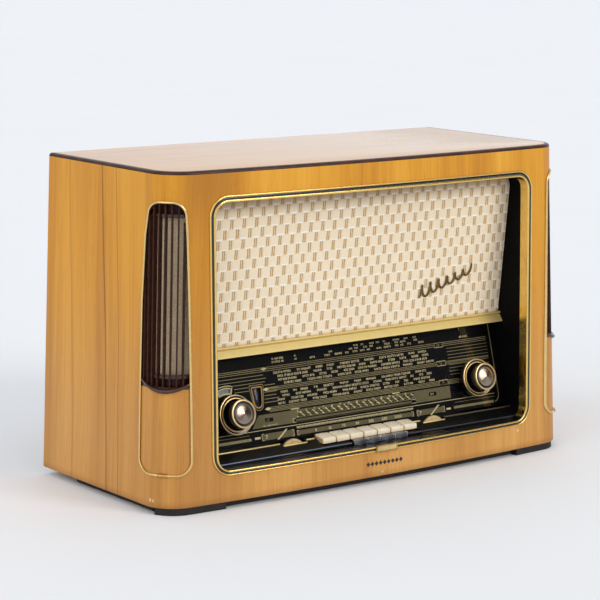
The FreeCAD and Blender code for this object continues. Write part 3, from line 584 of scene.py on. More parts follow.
class Mat:
    def __init__(self, name):
        self.m = bpy.data.materials.new(name)
        self.m.use_nodes = True
        self.tree = self.m.node_tree
        self.bsdf = self.tree.nodes["Principled BSDF"]
        self.out = self.tree.nodes["Material Output"]

    def put(self, inp, value):
        if isinstance(value, S):
            self.tree.links.new(value.sock, inp)
        elif isinstance(value, (tuple, list)):
            inp.default_value = (*value, 1.0) if len(value) == 3 and inp.type == "RGBA" else value
        else:
            inp.default_value = value

    def set(self, **kw):
        names = {"color": "Base Color", "metal": "Metallic", "rough": "Roughness", "ior": "IOR", "alpha": "Alpha", "normal": "Normal", "coat": "Coat Weight", "coat_rough": "Coat Roughness", "coat_ior": "Coat IOR", "coat_normal": "Coat Normal", "sheen": "Sheen Weight", "sheen_rough": "Sheen Roughness", "spec": "Specular IOR Level", "trans": "Transmission Weight", "emit": "Emission Color", "emit_k": "Emission Strength", "aniso": "Anisotropic", "aniso_rot": "Anisotropic Rotation", "tangent": "Tangent", "sss": "Subsurface Weight", "sss_r": "Subsurface Radius", "sss_s": "Subsurface Scale", "tint": "Specular Tint"}
        for k, v in kw.items():
            self.put(self.bsdf.inputs[names[k]], v)
        return self

    def node(self, kind, **kw):
        n = self.tree.nodes.new(kind)
        for k, v in kw.items():
            setattr(n, k, v)
        return n

    def coords(self, which="Object"):
        return S(self, self.node("ShaderNodeTexCoord").outputs[which])

    def position(self):
        return S(self, self.node("ShaderNodeNewGeometry").outputs["Position"])

    def uv(self):
        return S(self, self.node("ShaderNodeUVMap", uv_map="wrap").outputs[0])

    def attr(self, name):
        return S(self, self.node("ShaderNodeAttribute", attribute_name=name).outputs["Fac"])

    def sep(self, vec):
        n = self.node("ShaderNodeSeparateXYZ")
        self.put(n.inputs[0], vec)
        return [S(self, n.outputs[i]) for i in range(3)]

    def comb(self, x=0.0, y=0.0, z=0.0):
        n = self.node("ShaderNodeCombineXYZ")
        for i, v in enumerate((x, y, z)):
            self.put(n.inputs[i], v)
        return S(self, n.outputs[0])

    def scale(self, vec, x, y, z):
        a, b, c = self.sep(vec)
        return self.comb(a * x, b * y, c * z)

    def noise(self, vec, scale=1.0, detail=3.0, rough=0.5, distort=0.0, dims="3D"):
        n = self.node("ShaderNodeTexNoise", noise_dimensions=dims)
        self.put(n.inputs["Vector"], vec)
        for k, v in (("Scale", scale), ("Detail", detail), ("Roughness", rough), ("Distortion", distort)):
            self.put(n.inputs[k], v)
        return S(self, n.outputs[0])

    def voronoi(self, vec, scale=1.0, feature="F1", out="Distance", rand=1.0):
        n = self.node("ShaderNodeTexVoronoi", feature=feature)
        self.put(n.inputs["Vector"], vec)
        self.put(n.inputs["Scale"], scale)
        self.put(n.inputs["Randomness"], rand)
        return S(self, n.outputs[out])

    def mix(self, fac, a, b, blend="MIX"):
        n = self.node("ShaderNodeMix", data_type="RGBA", blend_type=blend)
        self.put(n.inputs[0], fac)
        self.put(n.inputs[6], a)
        self.put(n.inputs[7], b)
        return S(self, n.outputs[2])

    def ramp(self, fac, stops):
        n = self.node("ShaderNodeValToRGB")
        self.put(n.inputs[0], fac)
        els = n.color_ramp.elements
        while len(els) < len(stops):
            els.new(0.5)
        for e, (p, c) in zip(els, stops):
            e.position, e.color = p, (*c, 1.0)
        return S(self, n.outputs[0])

    def bump(self, height, strength=0.5, dist=0.001, normal=None):
        n = self.node("ShaderNodeBump")
        self.put(n.inputs["Strength"], strength)
        self.put(n.inputs["Distance"], dist)
        self.put(n.inputs["Height"], height)
        if normal is not None:
            self.put(n.inputs["Normal"], normal)
        return S(self, n.outputs[0])


def lin(r, g, b):
    """sRGB 0..255 to linear."""
    return tuple(((c / 255.0) / 12.92 if c <= 10.3 else ((c / 255.0 + 0.055) / 1.055) ** 2.4) for c in (r, g, b))


def mul(c, k):
    return tuple(x * k for x in c)


def veneer(name, space, light=1.0, figure=1.0, gloss=0.10, coat=0.4, spec=0.2, coat_ior=1.45):
    """Lacquered wood with the grain along the second coordinate. space: 'wrap' or 'top'."""
    m = Mat(name)
    if space == "wrap":
        u, z, _ = m.sep(m.uv())
    else:
        x, y, zz = m.sep(m.coords())
        u, z = y + zz * 0.35, x
    wave = (m.noise(m.comb(u * 5.0, z * 1.6, 0.0), 1.0, 2.0) - 0.5) * 0.030
    ug = u + wave
    broad = m.noise(m.comb(ug * 11.0, z * 0.7, 1.3), 1.0, 3.0, 0.55)
    mid = m.noise(m.comb(ug * 62.0, z * 1.6, 4.1), 1.0, 4.0, 0.62)
    fine = m.noise(m.comb(ug * 330.0, z * 5.0, 7.7), 1.0, 3.0, 0.6)
    hair = m.noise(m.comb(ug * 1150.0, z * 26.0, 2.2), 1.0, 2.0, 0.5)
    shade = broad * (0.95 * figure) + mid * (0.52 * figure) + fine * 0.26 + (0.5 - 0.475 * figure - 0.26 * figure - 0.13)
    col = m.ramp(shade, [
        (0.22, mul(lin(176, 108, 24), light)),
        (0.38, mul(lin(201, 134, 32), light)),
        (0.52, mul(lin(218, 152, 41), light)),
        (0.66, mul(lin(228, 164, 54), light)),
        (0.82, mul(lin(236, 178, 76), light)),
    ])
    if space == "wrap":
        # paler towards the bottom, and browner round the front corner as painted shade
        pale = m.ramp(shade, [
            (0.22, lin(164, 108, 50)),
            (0.38, lin(188, 132, 64)),
            (0.52, lin(205, 149, 76)),
            (0.66, lin(216, 162, 90)),
            (0.82, lin(226, 178, 112)),
        ])
        low = (z + (broad - 0.5) * 0.10).step(0.31, 0.04)
        col = m.mix(low, col, pale)
        # painted shade: the left front corner browner, more so towards the top
        painted_corner_shade = u.step(0.250, 0.292) * u.step(0.385, 0.318) * (0.42 + z.step(0.30, 0.38) * 0.22)
        col = m.mix(painted_corner_shade, col, m.mix(low, lin(150, 86, 20), lin(146, 90, 40)))
    pores = hair.step(0.60, 0.74)
    col = m.mix(pores * 0.30, col, mul(lin(118, 60, 18), light))
    if space == "wrap":
        # two darker growth lines on the left side, and small bruises where the veneer has chipped
        for u0, u1, w, k in ((0.1250, 0.1445, 0.0009, 0.62), (0.1570, 0.1706, 0.0007, 0.42), (0.0520, 0.0655, 0.0012, 0.25)):
            line = (ug - (u1 + (u0 - u1) * (z / 0.362)))
            col = m.mix((line.abs().step(w * 2.6, w * 0.2)) * k, col, mul(lin(104, 48, 14), light))
        px, pz, _ = m.sep(m.uv())
        for cu, cz, r in ((0.2385, 0.0085, 0.0020), (0.2430, 0.0080, 0.0016), (0.7920, 0.0250, 0.0018), (0.5650, 0.0050, 0.0016)):
            d = ((px - cu).pow(2.0) + ((pz - cz) * 0.8).pow(2.0)).pow(0.5) + (m.noise(m.comb(px * 900.0, pz * 900.0, 0.0), 1.0, 2.0) - 0.5) * r * 1.6
            col = m.mix(d.step(r, r * 0.55) * 0.8, col, lin(236, 212, 170))
        # slightly darker lacquer close to the bottom edge
        col = m.mix(pz.step(0.010, 0.0) * 0.35, col, mul(lin(120, 66, 22), light))
    smear = m.noise(m.comb(u * 26.0, z * 17.0, 5.0), 1.0, 3.0, 0.55)
    m.set(color=col, rough=0.42 + smear * 0.16, spec=spec, coat=coat, coat_rough=gloss + smear * 0.07, coat_ior=coat_ior)
    m.set(normal=m.bump(hair * 0.5 + fine, 0.22, 0.00022), coat_normal=m.bump(smear, 0.05, 0.0016))
    return m.m


def metal(name, col, rough=0.24, mottled=0.05, scratch=0.35, coords="Object", grain=None, dark=0.72, body=1.0, pits=0.35):
    m = Mat(name)
    c = m.coords(coords)
    n1 = m.noise(c, 90.0, 4.0, 0.6)
    n2 = m.noise(m.scale(c, *(grain or (260.0, 1500.0, 1500.0))), 1.0, 2.0, 0.5)
    spots = m.noise(c, 520.0, 2.0, 0.5).step(0.66, 0.76)
    base = m.mix(n1.step(0.30, 0.72) * 0.7, col, mul(col, dark))
    base = m.mix(spots * pits, base, mul(col, 0.35))
    m.set(color=base, metal=body, rough=rough + (n1 - 0.5) * mottled * 3.0 + spots * 0.15)
    m.set(normal=m.bump(n2 * 0.6 + n1 * 0.4, scratch, 0.00008))
    return m.m


def plastic(name, col, col2=None, rough=0.3, bump=0.15, coat=0.0, scale=140.0, spec=0.5, sss=0.0, dust=0.0):
    m = Mat(name)
    c = m.coords()
    n1 = m.noise(c, scale, 4.0, 0.55)
    n2 = m.noise(c, scale * 11.0, 2.0, 0.5)
    base = m.mix(n1.step(0.3, 0.7), col, col2 or mul(col, 0.82))
    if dust:
        up = S(m, m.node("ShaderNodeNewGeometry").outputs["Normal"])
        nz = m.sep(up)[2]
        specks = m.noise(c, 2600.0, 2.0, 0.6).step(0.66, 0.80)
        base = m.mix((specks * nz.step(0.1, 0.8) * dust).clamp(), base, lin(128, 124, 118))
    m.set(color=base, rough=rough + (n1 - 0.5) * 0.16, spec=spec, coat=coat, coat_rough=0.06 + n1 * 0.05)
    m.set(normal=m.bump(n2 * 0.4 + n1 * 0.6, bump, 0.00012))
    if sss:
        m.set(sss=sss, sss_r=(0.004, 0.003, 0.0015), sss_s=1.0)
    return m.m


def ivory():
    """Aged key plastic: cream on top, honey-coloured low down where the light doesn't reach."""
    m = Mat("ivory")
    c = m.coords()
    x, y, z = m.sep(c)
    n1 = m.noise(c, 70.0, 4.0, 0.55)
    n2 = m.noise(c, 900.0, 2.0, 0.5)
    base = m.mix(n1.step(0.3, 0.7), lin(246, 236, 212), lin(238, 222, 190))
    base = m.mix(z.step(0.0592, 0.0545) * 0.42, base, lin(214, 164, 92))
    # painted shade: darker honey where each key meets its neighbour
    k = (x / (PITCH * 0.001) + 0.5)
    painted_gap_shade = ((k - k.op("ROUND")).abs()).step(0.055, 0.018)
    base = m.mix(painted_gap_shade * 0.62, base, lin(186, 130, 62))
    m.set(color=base, rough=0.26 + (n1 - 0.5) * 0.16, coat=0.35, coat_rough=0.08, sss=0.12, sss_r=(0.004, 0.003, 0.0015), sss_s=1.0)
    m.set(normal=m.bump(n2 * 0.4 + n1 * 0.6, 0.05, 0.00012))
    return m.m


M = {}
M["veneer"] = veneer("veneer", "wrap", figure=0.74, coat=0.22)
M["veneer_top"] = veneer("veneer_top", "top", light=0.84, figure=0.55, gloss=0.13, coat=1.0, spec=0.5, coat_ior=1.6)
M["gold"] = metal("trim_gold", lin(242, 204, 118), 0.22, 0.03, 0.08, dark=0.90, pits=0.10)
M["gold_wire"] = metal("trim_gold_wire", lin(236, 204, 136), 0.28, 0.04, 0.10, dark=0.85, pits=0.15)
M["rim"] = metal("knob_rim", lin(222, 192, 138), 0.30, 0.03, 0.06, dark=0.9, pits=0.0)
M["gold_line"] = metal("shelf_gold", lin(252, 226, 150), 0.34, 0.03, 0.05, dark=0.95, pits=0.0, body=0.55)
# painted shade: a dark copy of the shelf's brass line, for its right-hand run
M["line_dull"] = metal("shelf_gold_painted_shade", lin(96, 84, 58), 0.45, 0.03, 0.05, dark=0.9, pits=0.0, body=0.3)
# the shelf nose: a darker copy as painted shade for its right-hand run, and a bluish tint as painted reflection
M["edge_dull"] = metal("shelf_edge_dull", lin(62, 64, 76), 0.40, 0.03, 0.1, dark=0.8, pits=0.1, body=0.3)
M["edge_sheen"] = metal("shelf_edge", lin(128, 138, 164), 0.34, 0.03, 0.1, dark=0.8, pits=0.1, body=0.6)
M["gold_rail"] = metal("rail_gold", lin(226, 200, 128), 0.40, 0.05, 0.2, grain=(40.0, 2600.0, 2600.0), dark=0.93, body=0.35, pits=0.15)
M["brass_dark"] = metal("ornament_brass", lin(128, 98, 52), 0.33, 0.06, 0.4, dark=0.5)
# one brass in two tones: the clip's rim darker as painted shade, its dished middle lighter as painted highlight
M["clip"] = metal("joiner_brass_painted_shade", lin(196, 156, 92), 0.30, 0.08, 0.4, dark=0.62)
M["clip_dish"] = metal("joiner_dish_painted_highlight", lin(240, 212, 150), 0.30, 0.08, 0.4, dark=0.72)
M["black_gloss"] = plastic("trim_black", lin(24, 26, 30), lin(15, 16, 19), 0.20, 0.06, coat=0.3)
M["knob_black"] = plastic("knob_black", lin(17, 15, 13), lin(10, 9, 8), 0.22, 0.06, coat=0.35)
M["shelf_black"] = plastic("shelf_black", lin(15, 15, 17), lin(9, 9, 11), 0.30, 0.10, coat=0.12, spec=0.3, dust=0.12)
M["mask_black"] = plastic("mask_black", lin(7, 6, 6), lin(4, 4, 4), 0.7, 0.25, spec=0.08)
M["edge_dark"] = plastic("edge_dark", lin(74, 40, 30), lin(50, 26, 20), 0.36, 0.12, coat=0.08, spec=0.22, scale=60.0)
M["grille"] = plastic("grille_brown", lin(66, 36, 26), lin(50, 26, 19), 0.26, 0.06, coat=0.35, spec=0.4)
M["grille_fin"] = plastic("grille_fin", lin(70, 38, 26), lin(52, 28, 19), 0.45, 0.06, spec=0.18)
M["ivory"] = ivory()
M["ivory_wheel"] = plastic("ivory_wheel", lin(214, 186, 140), lin(196, 164, 116), 0.42, 0.2, scale=160.0)
M["reg_key"] = plastic("register_key", lin(84, 86, 94), lin(60, 62, 70), 0.22, 0.05, coat=0.5)
M["foot"] = plastic("foot_black", lin(24, 20, 17), lin(13, 11, 10), 0.7, 0.5, scale=90.0)
M["rubber"] = plastic("rubber", lin(30, 29, 28), lin(20, 19, 18), 0.75, 0.4, scale=300.0)
M["bakelite"] = plastic("bakelite", lin(66, 36, 22), lin(40, 22, 14), 0.30, 0.08, coat=0.3)
M["bakelite_black"] = plastic("bakelite_black", lin(30, 28, 27), lin(20, 19, 18), 0.34, 0.10, coat=0.2)
M["steel"] = metal("steel", lin(176, 178, 178), 0.34, 0.08, 0.5)
M["steel_zinc"] = metal("steel_zinc", lin(168, 170, 160), 0.42, 0.12, 0.7, dark=0.7)
M["chrome"] = metal("chrome_edge", lin(206, 208, 212), 0.16, 0.04, 0.2)
M["aluminium"] = metal("aluminium", lin(206, 208, 210), 0.36, 0.08, 0.8)
M["aluminium_dark"] = metal("cap_bronze", lin(160, 140, 124), 0.3, 0.05, 0.3)
M["ferrite"] = plastic("ferrite", lin(52, 50, 50), lin(36, 35, 35), 0.5, 0.3, scale=400.0)
M["iron"] = plastic("iron_core", lin(70, 60, 52), lin(48, 42, 38), 0.55, 0.5, scale=200.0)
M["pointer"] = plastic("pointer_red", lin(178, 46, 30), lin(150, 34, 22), 0.4, 0.05)
M["paper_cone"] = plastic("paper_cone", lin(52, 48, 44), lin(38, 35, 32), 0.9, 0.7, scale=260.0)


def spun_metal():
    """The knobs' cap: a shallow spun cone, so its highlight is a wedge."""
    m = Mat("knob_cap")
    c = m.coords()
    x, y, z = m.sep(c)
    r = (x * x + y * y).pow(0.5)
    rings = m.noise(m.comb(r * 9000.0, 0.0, 0.0), 1.0, 3.0, 0.7)
    soft = m.noise(c, 60.0, 2.0)
    t = m.node("ShaderNodeTangent", direction_type="RADIAL", axis="Z")
    m.set(color=m.mix(soft.step(0.3, 0.7) * 0.22 + rings * 0.25, lin(156, 140, 124), lin(122, 106, 90)), metal=1.0, rough=0.21 + rings * 0.04, aniso=0.8, tangent=S(m, t.outputs[0]))
    m.set(normal=m.bump(rings, 0.03, 0.00006))
    return m.m


def ring_blue():
    m = Mat("knob_ring")
    c = m.coords()
    n = m.noise(c, 300.0, 3.0)
    m.set(color=m.mix(n, lin(40, 46, 58), lin(22, 26, 34)), metal=0.6, rough=0.20 + n * 0.08)
    return m.m


M["spun"] = spun_metal()
M["ring"] = ring_blue()


def thin_glass(name, tint, rough=0.03, boost=1.0, dust=0.0):
    m = Mat(name)
    m.tree.nodes.remove(m.bsdf)
    c = m.coords()
    fr = m.node("ShaderNodeFresnel")
    fr.inputs["IOR"].default_value = 1.5
    n = m.noise(c, 60.0, 3.0)
    gl = m.node("ShaderNodeBsdfGlossy")
    gl.inputs["Roughness"].default_value = rough
    m.put(gl.inputs["Color"], m.mix(n, (1, 1, 1), (0.86, 0.88, 0.9)))
    m.put(gl.inputs["Normal"], m.bump(m.noise(c, 7.0, 2.0), 0.02, 0.002))
    tr = m.node("ShaderNodeBsdfTransparent")
    m.put(tr.inputs["Color"], (*tint, 1.0))
    ms = m.node("ShaderNodeMixShader")
    m.put(ms.inputs[0], S(m, fr.outputs[0]) * boost)
    m.tree.links.new(tr.outputs[0], ms.inputs[1])
    m.tree.links.new(gl.outputs[0], ms.inputs[2])
    last = ms
    if dust:
        df = m.node("ShaderNodeBsdfDiffuse")
        m.put(df.inputs["Color"], m.mix(n, lin(150, 148, 142), lin(120, 118, 112)))
        m2 = m.node("ShaderNodeMixShader")
        specks = m.noise(c, 1700.0, 2.0, 0.6).step(0.64, 0.80)
        m.put(m2.inputs[0], (specks * 0.9 + m.noise(c, 14.0, 3.0) * 0.25) * dust)
        m.tree.links.new(ms.outputs[0], m2.inputs[1])
        m.tree.links.new(df.outputs[0], m2.inputs[2])
        last = m2
    m.tree.links.new(last.outputs[0], m.out.inputs[0])
    return m.m


M["dial_glass"] = thin_glass("dial_glass", (0.98, 0.98, 0.98), 0.03, 0.13, dust=0.002)
M["valve_glass"] = thin_glass("valve_glass", (0.80, 0.84, 0.86), 0.04, 1.6)
M["bulb_glass"] = thin_glass("bulb_glass", (0.9, 0.9, 0.86), 0.04, 1.4)


def printed(name, col, col2, rough=0.5, metal_=0.25, lines=0.0, spec=0.15):
    """Printing on the back of the dial glass; lines adds the fine vertical ruling of the metallic ink."""
    m = Mat(name)
    c = m.coords()
    x, y, z = m.sep(c)
    n1 = m.noise(c, 55.0, 3.0, 0.6)
    n2 = m.noise(c, 1400.0, 2.0, 0.6)
    base = m.mix((n1 * 0.6 + n2 * 0.4).step(0.3, 0.7), col, col2)
    if lines:
        base = m.mix((x * 4200.0).sin().step(-0.2, 0.9) * lines, base, mul(col2, 0.55))
    m.set(color=base, metal=metal_, rough=rough + (n2 - 0.5) * 0.2, spec=spec, normal=m.bump(n2, 0.1, 0.00005))
    return m.m


M["ink"] = printed("dial_ink", lin(226, 210, 164), lin(204, 188, 140), 0.5, 0.1)
M["ink_dim"] = printed("dial_ink_dim", lin(150, 136, 96), lin(124, 112, 76), 0.5, 0.1)
M["ink_strip"] = printed("dial_strip", lin(112, 102, 72), lin(94, 86, 58), 0.5, 0.1, lines=0.35)
M["ink_orange"] = printed("dial_eye_frame", lin(178, 138, 78), lin(146, 108, 54), 0.4, 0.3)
M["ink_black"] = printed("dial_black", lin(11, 11, 14), lin(7, 7, 9), 0.42, 0.0, spec=0.05)
M["ink_grey"] = printed("dial_window_back", lin(158, 164, 164), lin(120, 126, 128), 0.5, 0.2)
M["ink_slot"] = printed("dial_slot_back", lin(172, 168, 154), lin(150, 146, 132), 0.5, 0.1)


def cloth_front():
    m = Mat("cloth_front")
    pad, slit, edge = m.attr("pad"), m.attr("slit"), m.attr("edge")
    c = m.coords()
    x, y, z = m.sep(c)
    weave = ((x * 3900.0).sin() * (z * 3900.0).sin()) * 0.5 + 0.5
    n1 = m.noise(c, 600.0, 3.0, 0.7)
    n2 = m.noise(c, 16.0, 3.0, 0.5)
    fuzz = m.noise(c, 2600.0, 2.0, 0.7)
    base = m.mix(n1.step(0.3, 0.7), lin(248, 234, 208), lin(240, 222, 192))
    base = m.mix(n2 * 0.35, base, lin(232, 212, 182))
    # painted highlight: near-white along the pads' lower edges
    base = m.mix((edge * 1.3).clamp(), base, lin(255, 251, 242))
    ribs = m.mix(n1.step(0.35, 0.65), lin(246, 230, 200), lin(228, 200, 154))
    col = m.mix(pad, ribs, base)
    col = m.mix((slit * (1.15 + fuzz * 0.35)).clamp(), col, lin(158, 106, 46))
    # painted shadow: browner near the top of the cloth, under the opening's top edge
    col = m.mix(z.step(0.340, 0.366) * 0.75, col, lin(150, 108, 60))
    m.set(color=col, rough=0.92, sheen=0.25, sheen_rough=0.5, spec=0.15)
    m.set(normal=m.bump(weave * 0.55 + fuzz * 0.6, 0.5, 0.0003))
    return m.m


def cloth_side():
    m = Mat("cloth_side")
    c = m.coords()
    x, y, z = m.sep(c)
    weave = ((x * 2600.0 - y * 2600.0).sin() * (z * 3600.0).sin()) * 0.5 + 0.5
    n1 = m.noise(c, 700.0, 3.0, 0.7)
    n2 = m.noise(c, 40.0, 3.0, 0.6)
    col = m.mix(n1.step(0.34, 0.68), lin(255, 240, 208), lin(224, 190, 144))
    col = m.mix(weave * 0.22, col, lin(150, 112, 74))
    col = m.mix(n2 * 0.15, col, lin(226, 206, 182))
    m.set(color=col, rough=0.95, sheen=0.2, spec=0.1, normal=m.bump(weave + n1 * 0.6, 0.7, 0.0004))
    return m.m


M["cloth_front"] = cloth_front()
M["cloth_side"] = cloth_side()


def hardboard():
    m = Mat("hardboard")
    c = m.coords()
    n1 = m.noise(c, 30.0, 4.0, 0.6)
    n2 = m.noise(m.scale(c, 900.0, 900.0, 1400.0), 1.0, 3.0, 0.7)
    fib = m.noise(m.scale(c, 160.0, 160.0, 1900.0), 1.0, 3.0, 0.6)
    col = m.mix(n1.step(0.3, 0.7), lin(104, 68, 42), lin(84, 53, 33))
    col = m.mix(n2.step(0.45, 0.7) * 0.5, col, lin(60, 38, 24))
    col = m.mix(fib.step(0.6, 0.8) * 0.3, col, lin(140, 100, 66))
    m.set(color=col, rough=0.62 + n1 * 0.15, spec=0.3, normal=m.bump(n2 + fib * 0.5, 0.4, 0.0004))
    return m.m


def raw_board(name, a, b):
    m = Mat(name)
    c = m.coords()
    x, y, z = m.sep(c)
    g = m.noise(m.comb(x * 5.0, y * 110.0, z * 110.0), 1.0, 4.0, 0.6)
    f = m.noise(m.comb(x * 30.0, y * 900.0, z * 900.0), 1.0, 2.0, 0.6)
    col = m.mix(g.step(0.3, 0.7), a, b)
    col = m.mix(f.step(0.58, 0.75) * 0.4, col, mul(b, 0.55))
    m.set(color=col, rough=0.75, spec=0.25, normal=m.bump(f + g, 0.3, 0.0003))
    return m.m


M["hardboard"] = hardboard()
M["board_raw"] = raw_board("board_raw", lin(178, 138, 92), lin(150, 110, 68))
M["board_dark"] = raw_board("board_dark", lin(92, 66, 44), lin(70, 48, 32))

# ------------------------------------------------------------------ the wooden case
def p_of_u(u):
    total = 2 * SEG_LEN[0] + 2 * SEG_LEN[1] + SEG_LEN[2]
    if u > total / 2:
        return 5.0 - p_of_u(total - u)
    if u <= SEG_LEN[0]:
        return u / SEG_LEN[0]
    if u <= SEG_LEN[0] + SEG_LEN[1]:
        return 1.0 + (u - SEG_LEN[0]) / SEG_LEN[1]
    return 2.0 + (u - SEG_LEN[0] - SEG_LEN[1]) / SEG_LEN[2]


P_COLS = [i / 9 for i in range(9)] + [1 + i / 18 for i in range(18)] + [2 + i / 52 for i in range(52)] + [3 + i / 18 for i in range(18)] + [4 + i / 9 for i in range(10)]


def case_shell():
    b = Build()
    opening = rr_path(5.4, 12, 44, 18)
    slot = slot_outline(2.0, 141.5, 140, 12)
    edges_idx = {}

    def one(off, z_low, tag):
        rows = [z_low] + [20.0 * i for i in range(1, 19)] + [CASE_H]
        loops = [
            [(wrap_u(p_of_x(x, z, off)), z) for x, z in opening],
            [(wrap_u(p_of_t(t, z, off)), z) for t, z in slot],
            [(wrap_u(5.0 - p_of_t(t, z, off)), z) for t, z in slot],
        ]
        pts, kinds = [], []
        for j, z in enumerate(rows):
            for i, p in enumerate(P_COLS):
                u = wrap_u(p)
                if 0 < j < len(rows) - 1 and 0 < i < len(P_COLS) - 1:
                    if any(inside(lp, u, z) for lp in loops):
                        continue
                pts.append(Vector((u, z)))
                kinds.append(("g", i, j))
        cons = []
        for li, lp in enumerate(loops):
            base = len(pts)
            for k, q in enumerate(lp):
                pts.append(Vector(q))
                kinds.append(("l", li, k))
            cons += [(base + k, base + (k + 1) % len(lp)) for k in range(len(lp))]
        vs, _, fs, ov, _, _ = delaunay_2d_cdt(pts, cons, [], 0, 1e-4)
        idx = []
        for q in vs:
            p = p_of_u(q.x)
            idx.append(b.vert(skin(p, q.y, off), (q.x * 0.001, q.y * 0.001), skin_normal(p, q.y, off)))
        for i, src in enumerate(ov):
            for s_ in src:
                edges_idx[(tag, *kinds[s_])] = idx[i]
        for f in fs:
            cx = sum(vs[i].x for i in f) / len(f)
            cy = sum(vs[i].y for i in f) / len(f)
            if not any(inside(lp, cx, cy) for lp in loops):
                b.face([idx[i] for i in f], 0 if tag == "o" else 1, True)
        return len(rows), [len(lp) for lp in loops]

    nr, sizes = one(0.0, 0.9, "o")
    one(WALL, 0.0, "i")
    for li, n in enumerate(sizes):
        for k in range(n):
            k2 = (k + 1) % n
            b.face((edges_idx[("o", "l", li, k)], edges_idx[("o", "l", li, k2)], edges_idx[("i", "l", li, k2)], edges_idx[("i", "l", li, k)]), 2)
    nc = len(P_COLS)
    low = [b.vert(skin(p, 0.0, 0.9), (wrap_u(p) * 0.001, 0.0)) for p in P_COLS]
    for i in range(nc - 1):
        b.face((edges_idx[("o", "g", i, 0)], edges_idx[("o", "g", i + 1, 0)], low[i + 1], low[i]), 0)
        b.face((low[i], low[i + 1], edges_idx[("i", "g", i + 1, 0)], edges_idx[("i", "g", i, 0)]), 2)
        b.face((edges_idx[("o", "g", i, nr - 1)], edges_idx[("o", "g", i + 1, nr - 1)], edges_idx[("i", "g", i + 1, nr - 1)], edges_idx[("i", "g", i, nr - 1)]), 2)
    for i in (0, nc - 1):
        for j in range(nr - 1):
            b.face((edges_idx[("o", "g", i, j)], edges_idx[("o", "g", i, j + 1)], edges_idx[("i", "g", i, j + 1)], edges_idx[("i", "g", i, j)]), 2)
        b.face((edges_idx[("o", "g", i, 0)], low[i], edges_idx[("i", "g", i, 0)]), 2)
    return b.done("case_shell", [M["veneer"], M["board_dark"], M["board_raw"]], slot="veneer", replaces=["cabinet_shell"], angle=40)


case_shell()


def edge_band():
    b = Build()
    prof = [(0.0, 391.3), (0.03, 392.3), (0.28, 393.2), (0.85, 394.0), (1.7, 394.65), (2.7, 395.05), (3.8, 395.25), (5.0, 395.3), (6.0, 395.2), (6.0, 391.3)]
    rings = [[skin(p, z, off) for off, z in prof] for p in P_COLS]
    b.loft(rings, 0)
    b.done("edge_band", [M["edge_dark"]], slot="edge_dark", replaces=["top_edge_band"], angle=50)


edge_band()


def lid():
    """The lid's veneered face, crowned at its rim, on a stepped core."""
    b = Build()
    rings = []
    for z, off in ((383.3, 10.15), (391.35, 10.15), (391.35, 6.1), (394.95, 6.1), (395.2, 6.35), (395.3, 6.9)):
        rings.append([skin(p, z, off) for p in P_COLS])
    idx = [b.row(r) for r in rings]
    for a, c in zip(idx, idx[1:]):
        b.bridge(a, c, 0, closed=True)
    b.face(idx[0][::-1], 1)
    b.face(idx[-1], 0)
    b.done("lid", [M["veneer_top"], M["board_raw"]], slot="veneer_top", replaces=["top_panel"], angle=30)


lid()


# ------------------------------------------------------------------ front trim
def sweep_opening(name, profile, mats, matf=0, slot=None, replaces=(), grid=(16, 44, 18)):
    b = Build()
    paths = {k: rr_path(k, *grid) for k, _ in profile}
    n = len(paths[profile[0][0]])
    rings = []
    for i in range(n):
        ring_ = []
        for k, off in profile:
            x, z = paths[k][i]
            ring_.append((x, front_y(x, z, off), z))
        rings.append(ring_)
    b.loft(rings, matf, loop=True)
    return b.done(name, mats, slot=slot, replaces=replaces, angle=42)


GOLD_PROFILE = [(0.0, -0.05), (0.1, -1.35), (0.35, -1.8), (0.8, -2.1), (1.25, -2.2), (1.7, -2.1), (2.15, -1.8), (2.4, -1.4), (2.5, -1.0), (5.3, -1.0), (5.4, -1.4), (5.65, -1.8), (6.1, -2.1), (6.9, -2.2), (7.6, -2.1), (8.1, -1.7), (8.4, -1.2), (8.5, -0.5), (8.5, 4.0), (8.5, 12.0), (7.3, 12.0), (7.3, -0.05)]
sweep_opening("opening_trim_brass", GOLD_PROFILE, [M["gold"]], slot="trim_gold", replaces=["opening_trim"])
sweep_opening("trim_inlay_black", [(2.55, -1.05), (2.6, -1.5), (2.9, -1.68), (3.9, -1.7), (4.9, -1.68), (5.2, -1.5), (5.25, -1.05)], [M["black_gloss"]], slot="trim_black", replaces=["trim_inlay"])


def joiners():
    b = Build()
    full = [(31.0, -2.25), (31.0, -3.25), (31.3, -3.52), (31.9, -3.6), (38.7, -3.6), (39.3, -3.52), (39.6, -3.25), (39.6, -2.25)]
    dish = [(31.0, -2.25), (31.0, -3.25), (31.3, -3.52), (32.3, -3.58), (33.0, -3.25), (37.6, -3.25), (38.3, -3.58), (39.3, -3.52), (39.6, -3.25), (39.6, -2.25)]
    full10 = full[:4] + [(34.0, -3.6), (36.6, -3.6)] + full[4:]
    rings = []
    xs = [(-13.0, "e"), (-12.8, "f"), (-11.2, "f"), (-10.6, "d")] + [(-10.6 + i * 3.72, "d") for i in range(1, 8)] + [(18.6, "d"), (19.2, "f"), (20.8, "f"), (21.0, "e")]
    for x, kind in xs:
        prof = dish if kind == "d" else full10
        ring_ = []
        for z, off in prof:
            if kind == "e":
                z, off = lerp(z, 35.3, 0.06), lerp(off, -2.25, 0.25)
            ring_.append((x, front_y(x, z, off), z))
        rings.append(ring_)
    b.loft(rings, lambda k, i: 1 if 3 <= k <= 10 and 4 <= i <= 5 else 0, cap_mat=0)
    for side in (-1, 1):
        rings = []
        for i in range(13):
            t = 31.5 + 13.0 * i / 12
            e = 0.7 if i in (0, 12) else 1.0
            ring_ = []
            for j in range(11):
                a = math.pi * j / 10
                ring_.append(on_corner(t, 39.6 - 2.35 * e * math.cos(a), -0.1 - 3.3 * e * math.sin(a) ** 0.8, side))
            rings.append(ring_)
        b.loft(rings, 0)
    b.done("trim_clips", [M["clip"], M["clip_dish"]], slot="trim_gold", replaces=["trim_joiners"], angle=30)


joiners()


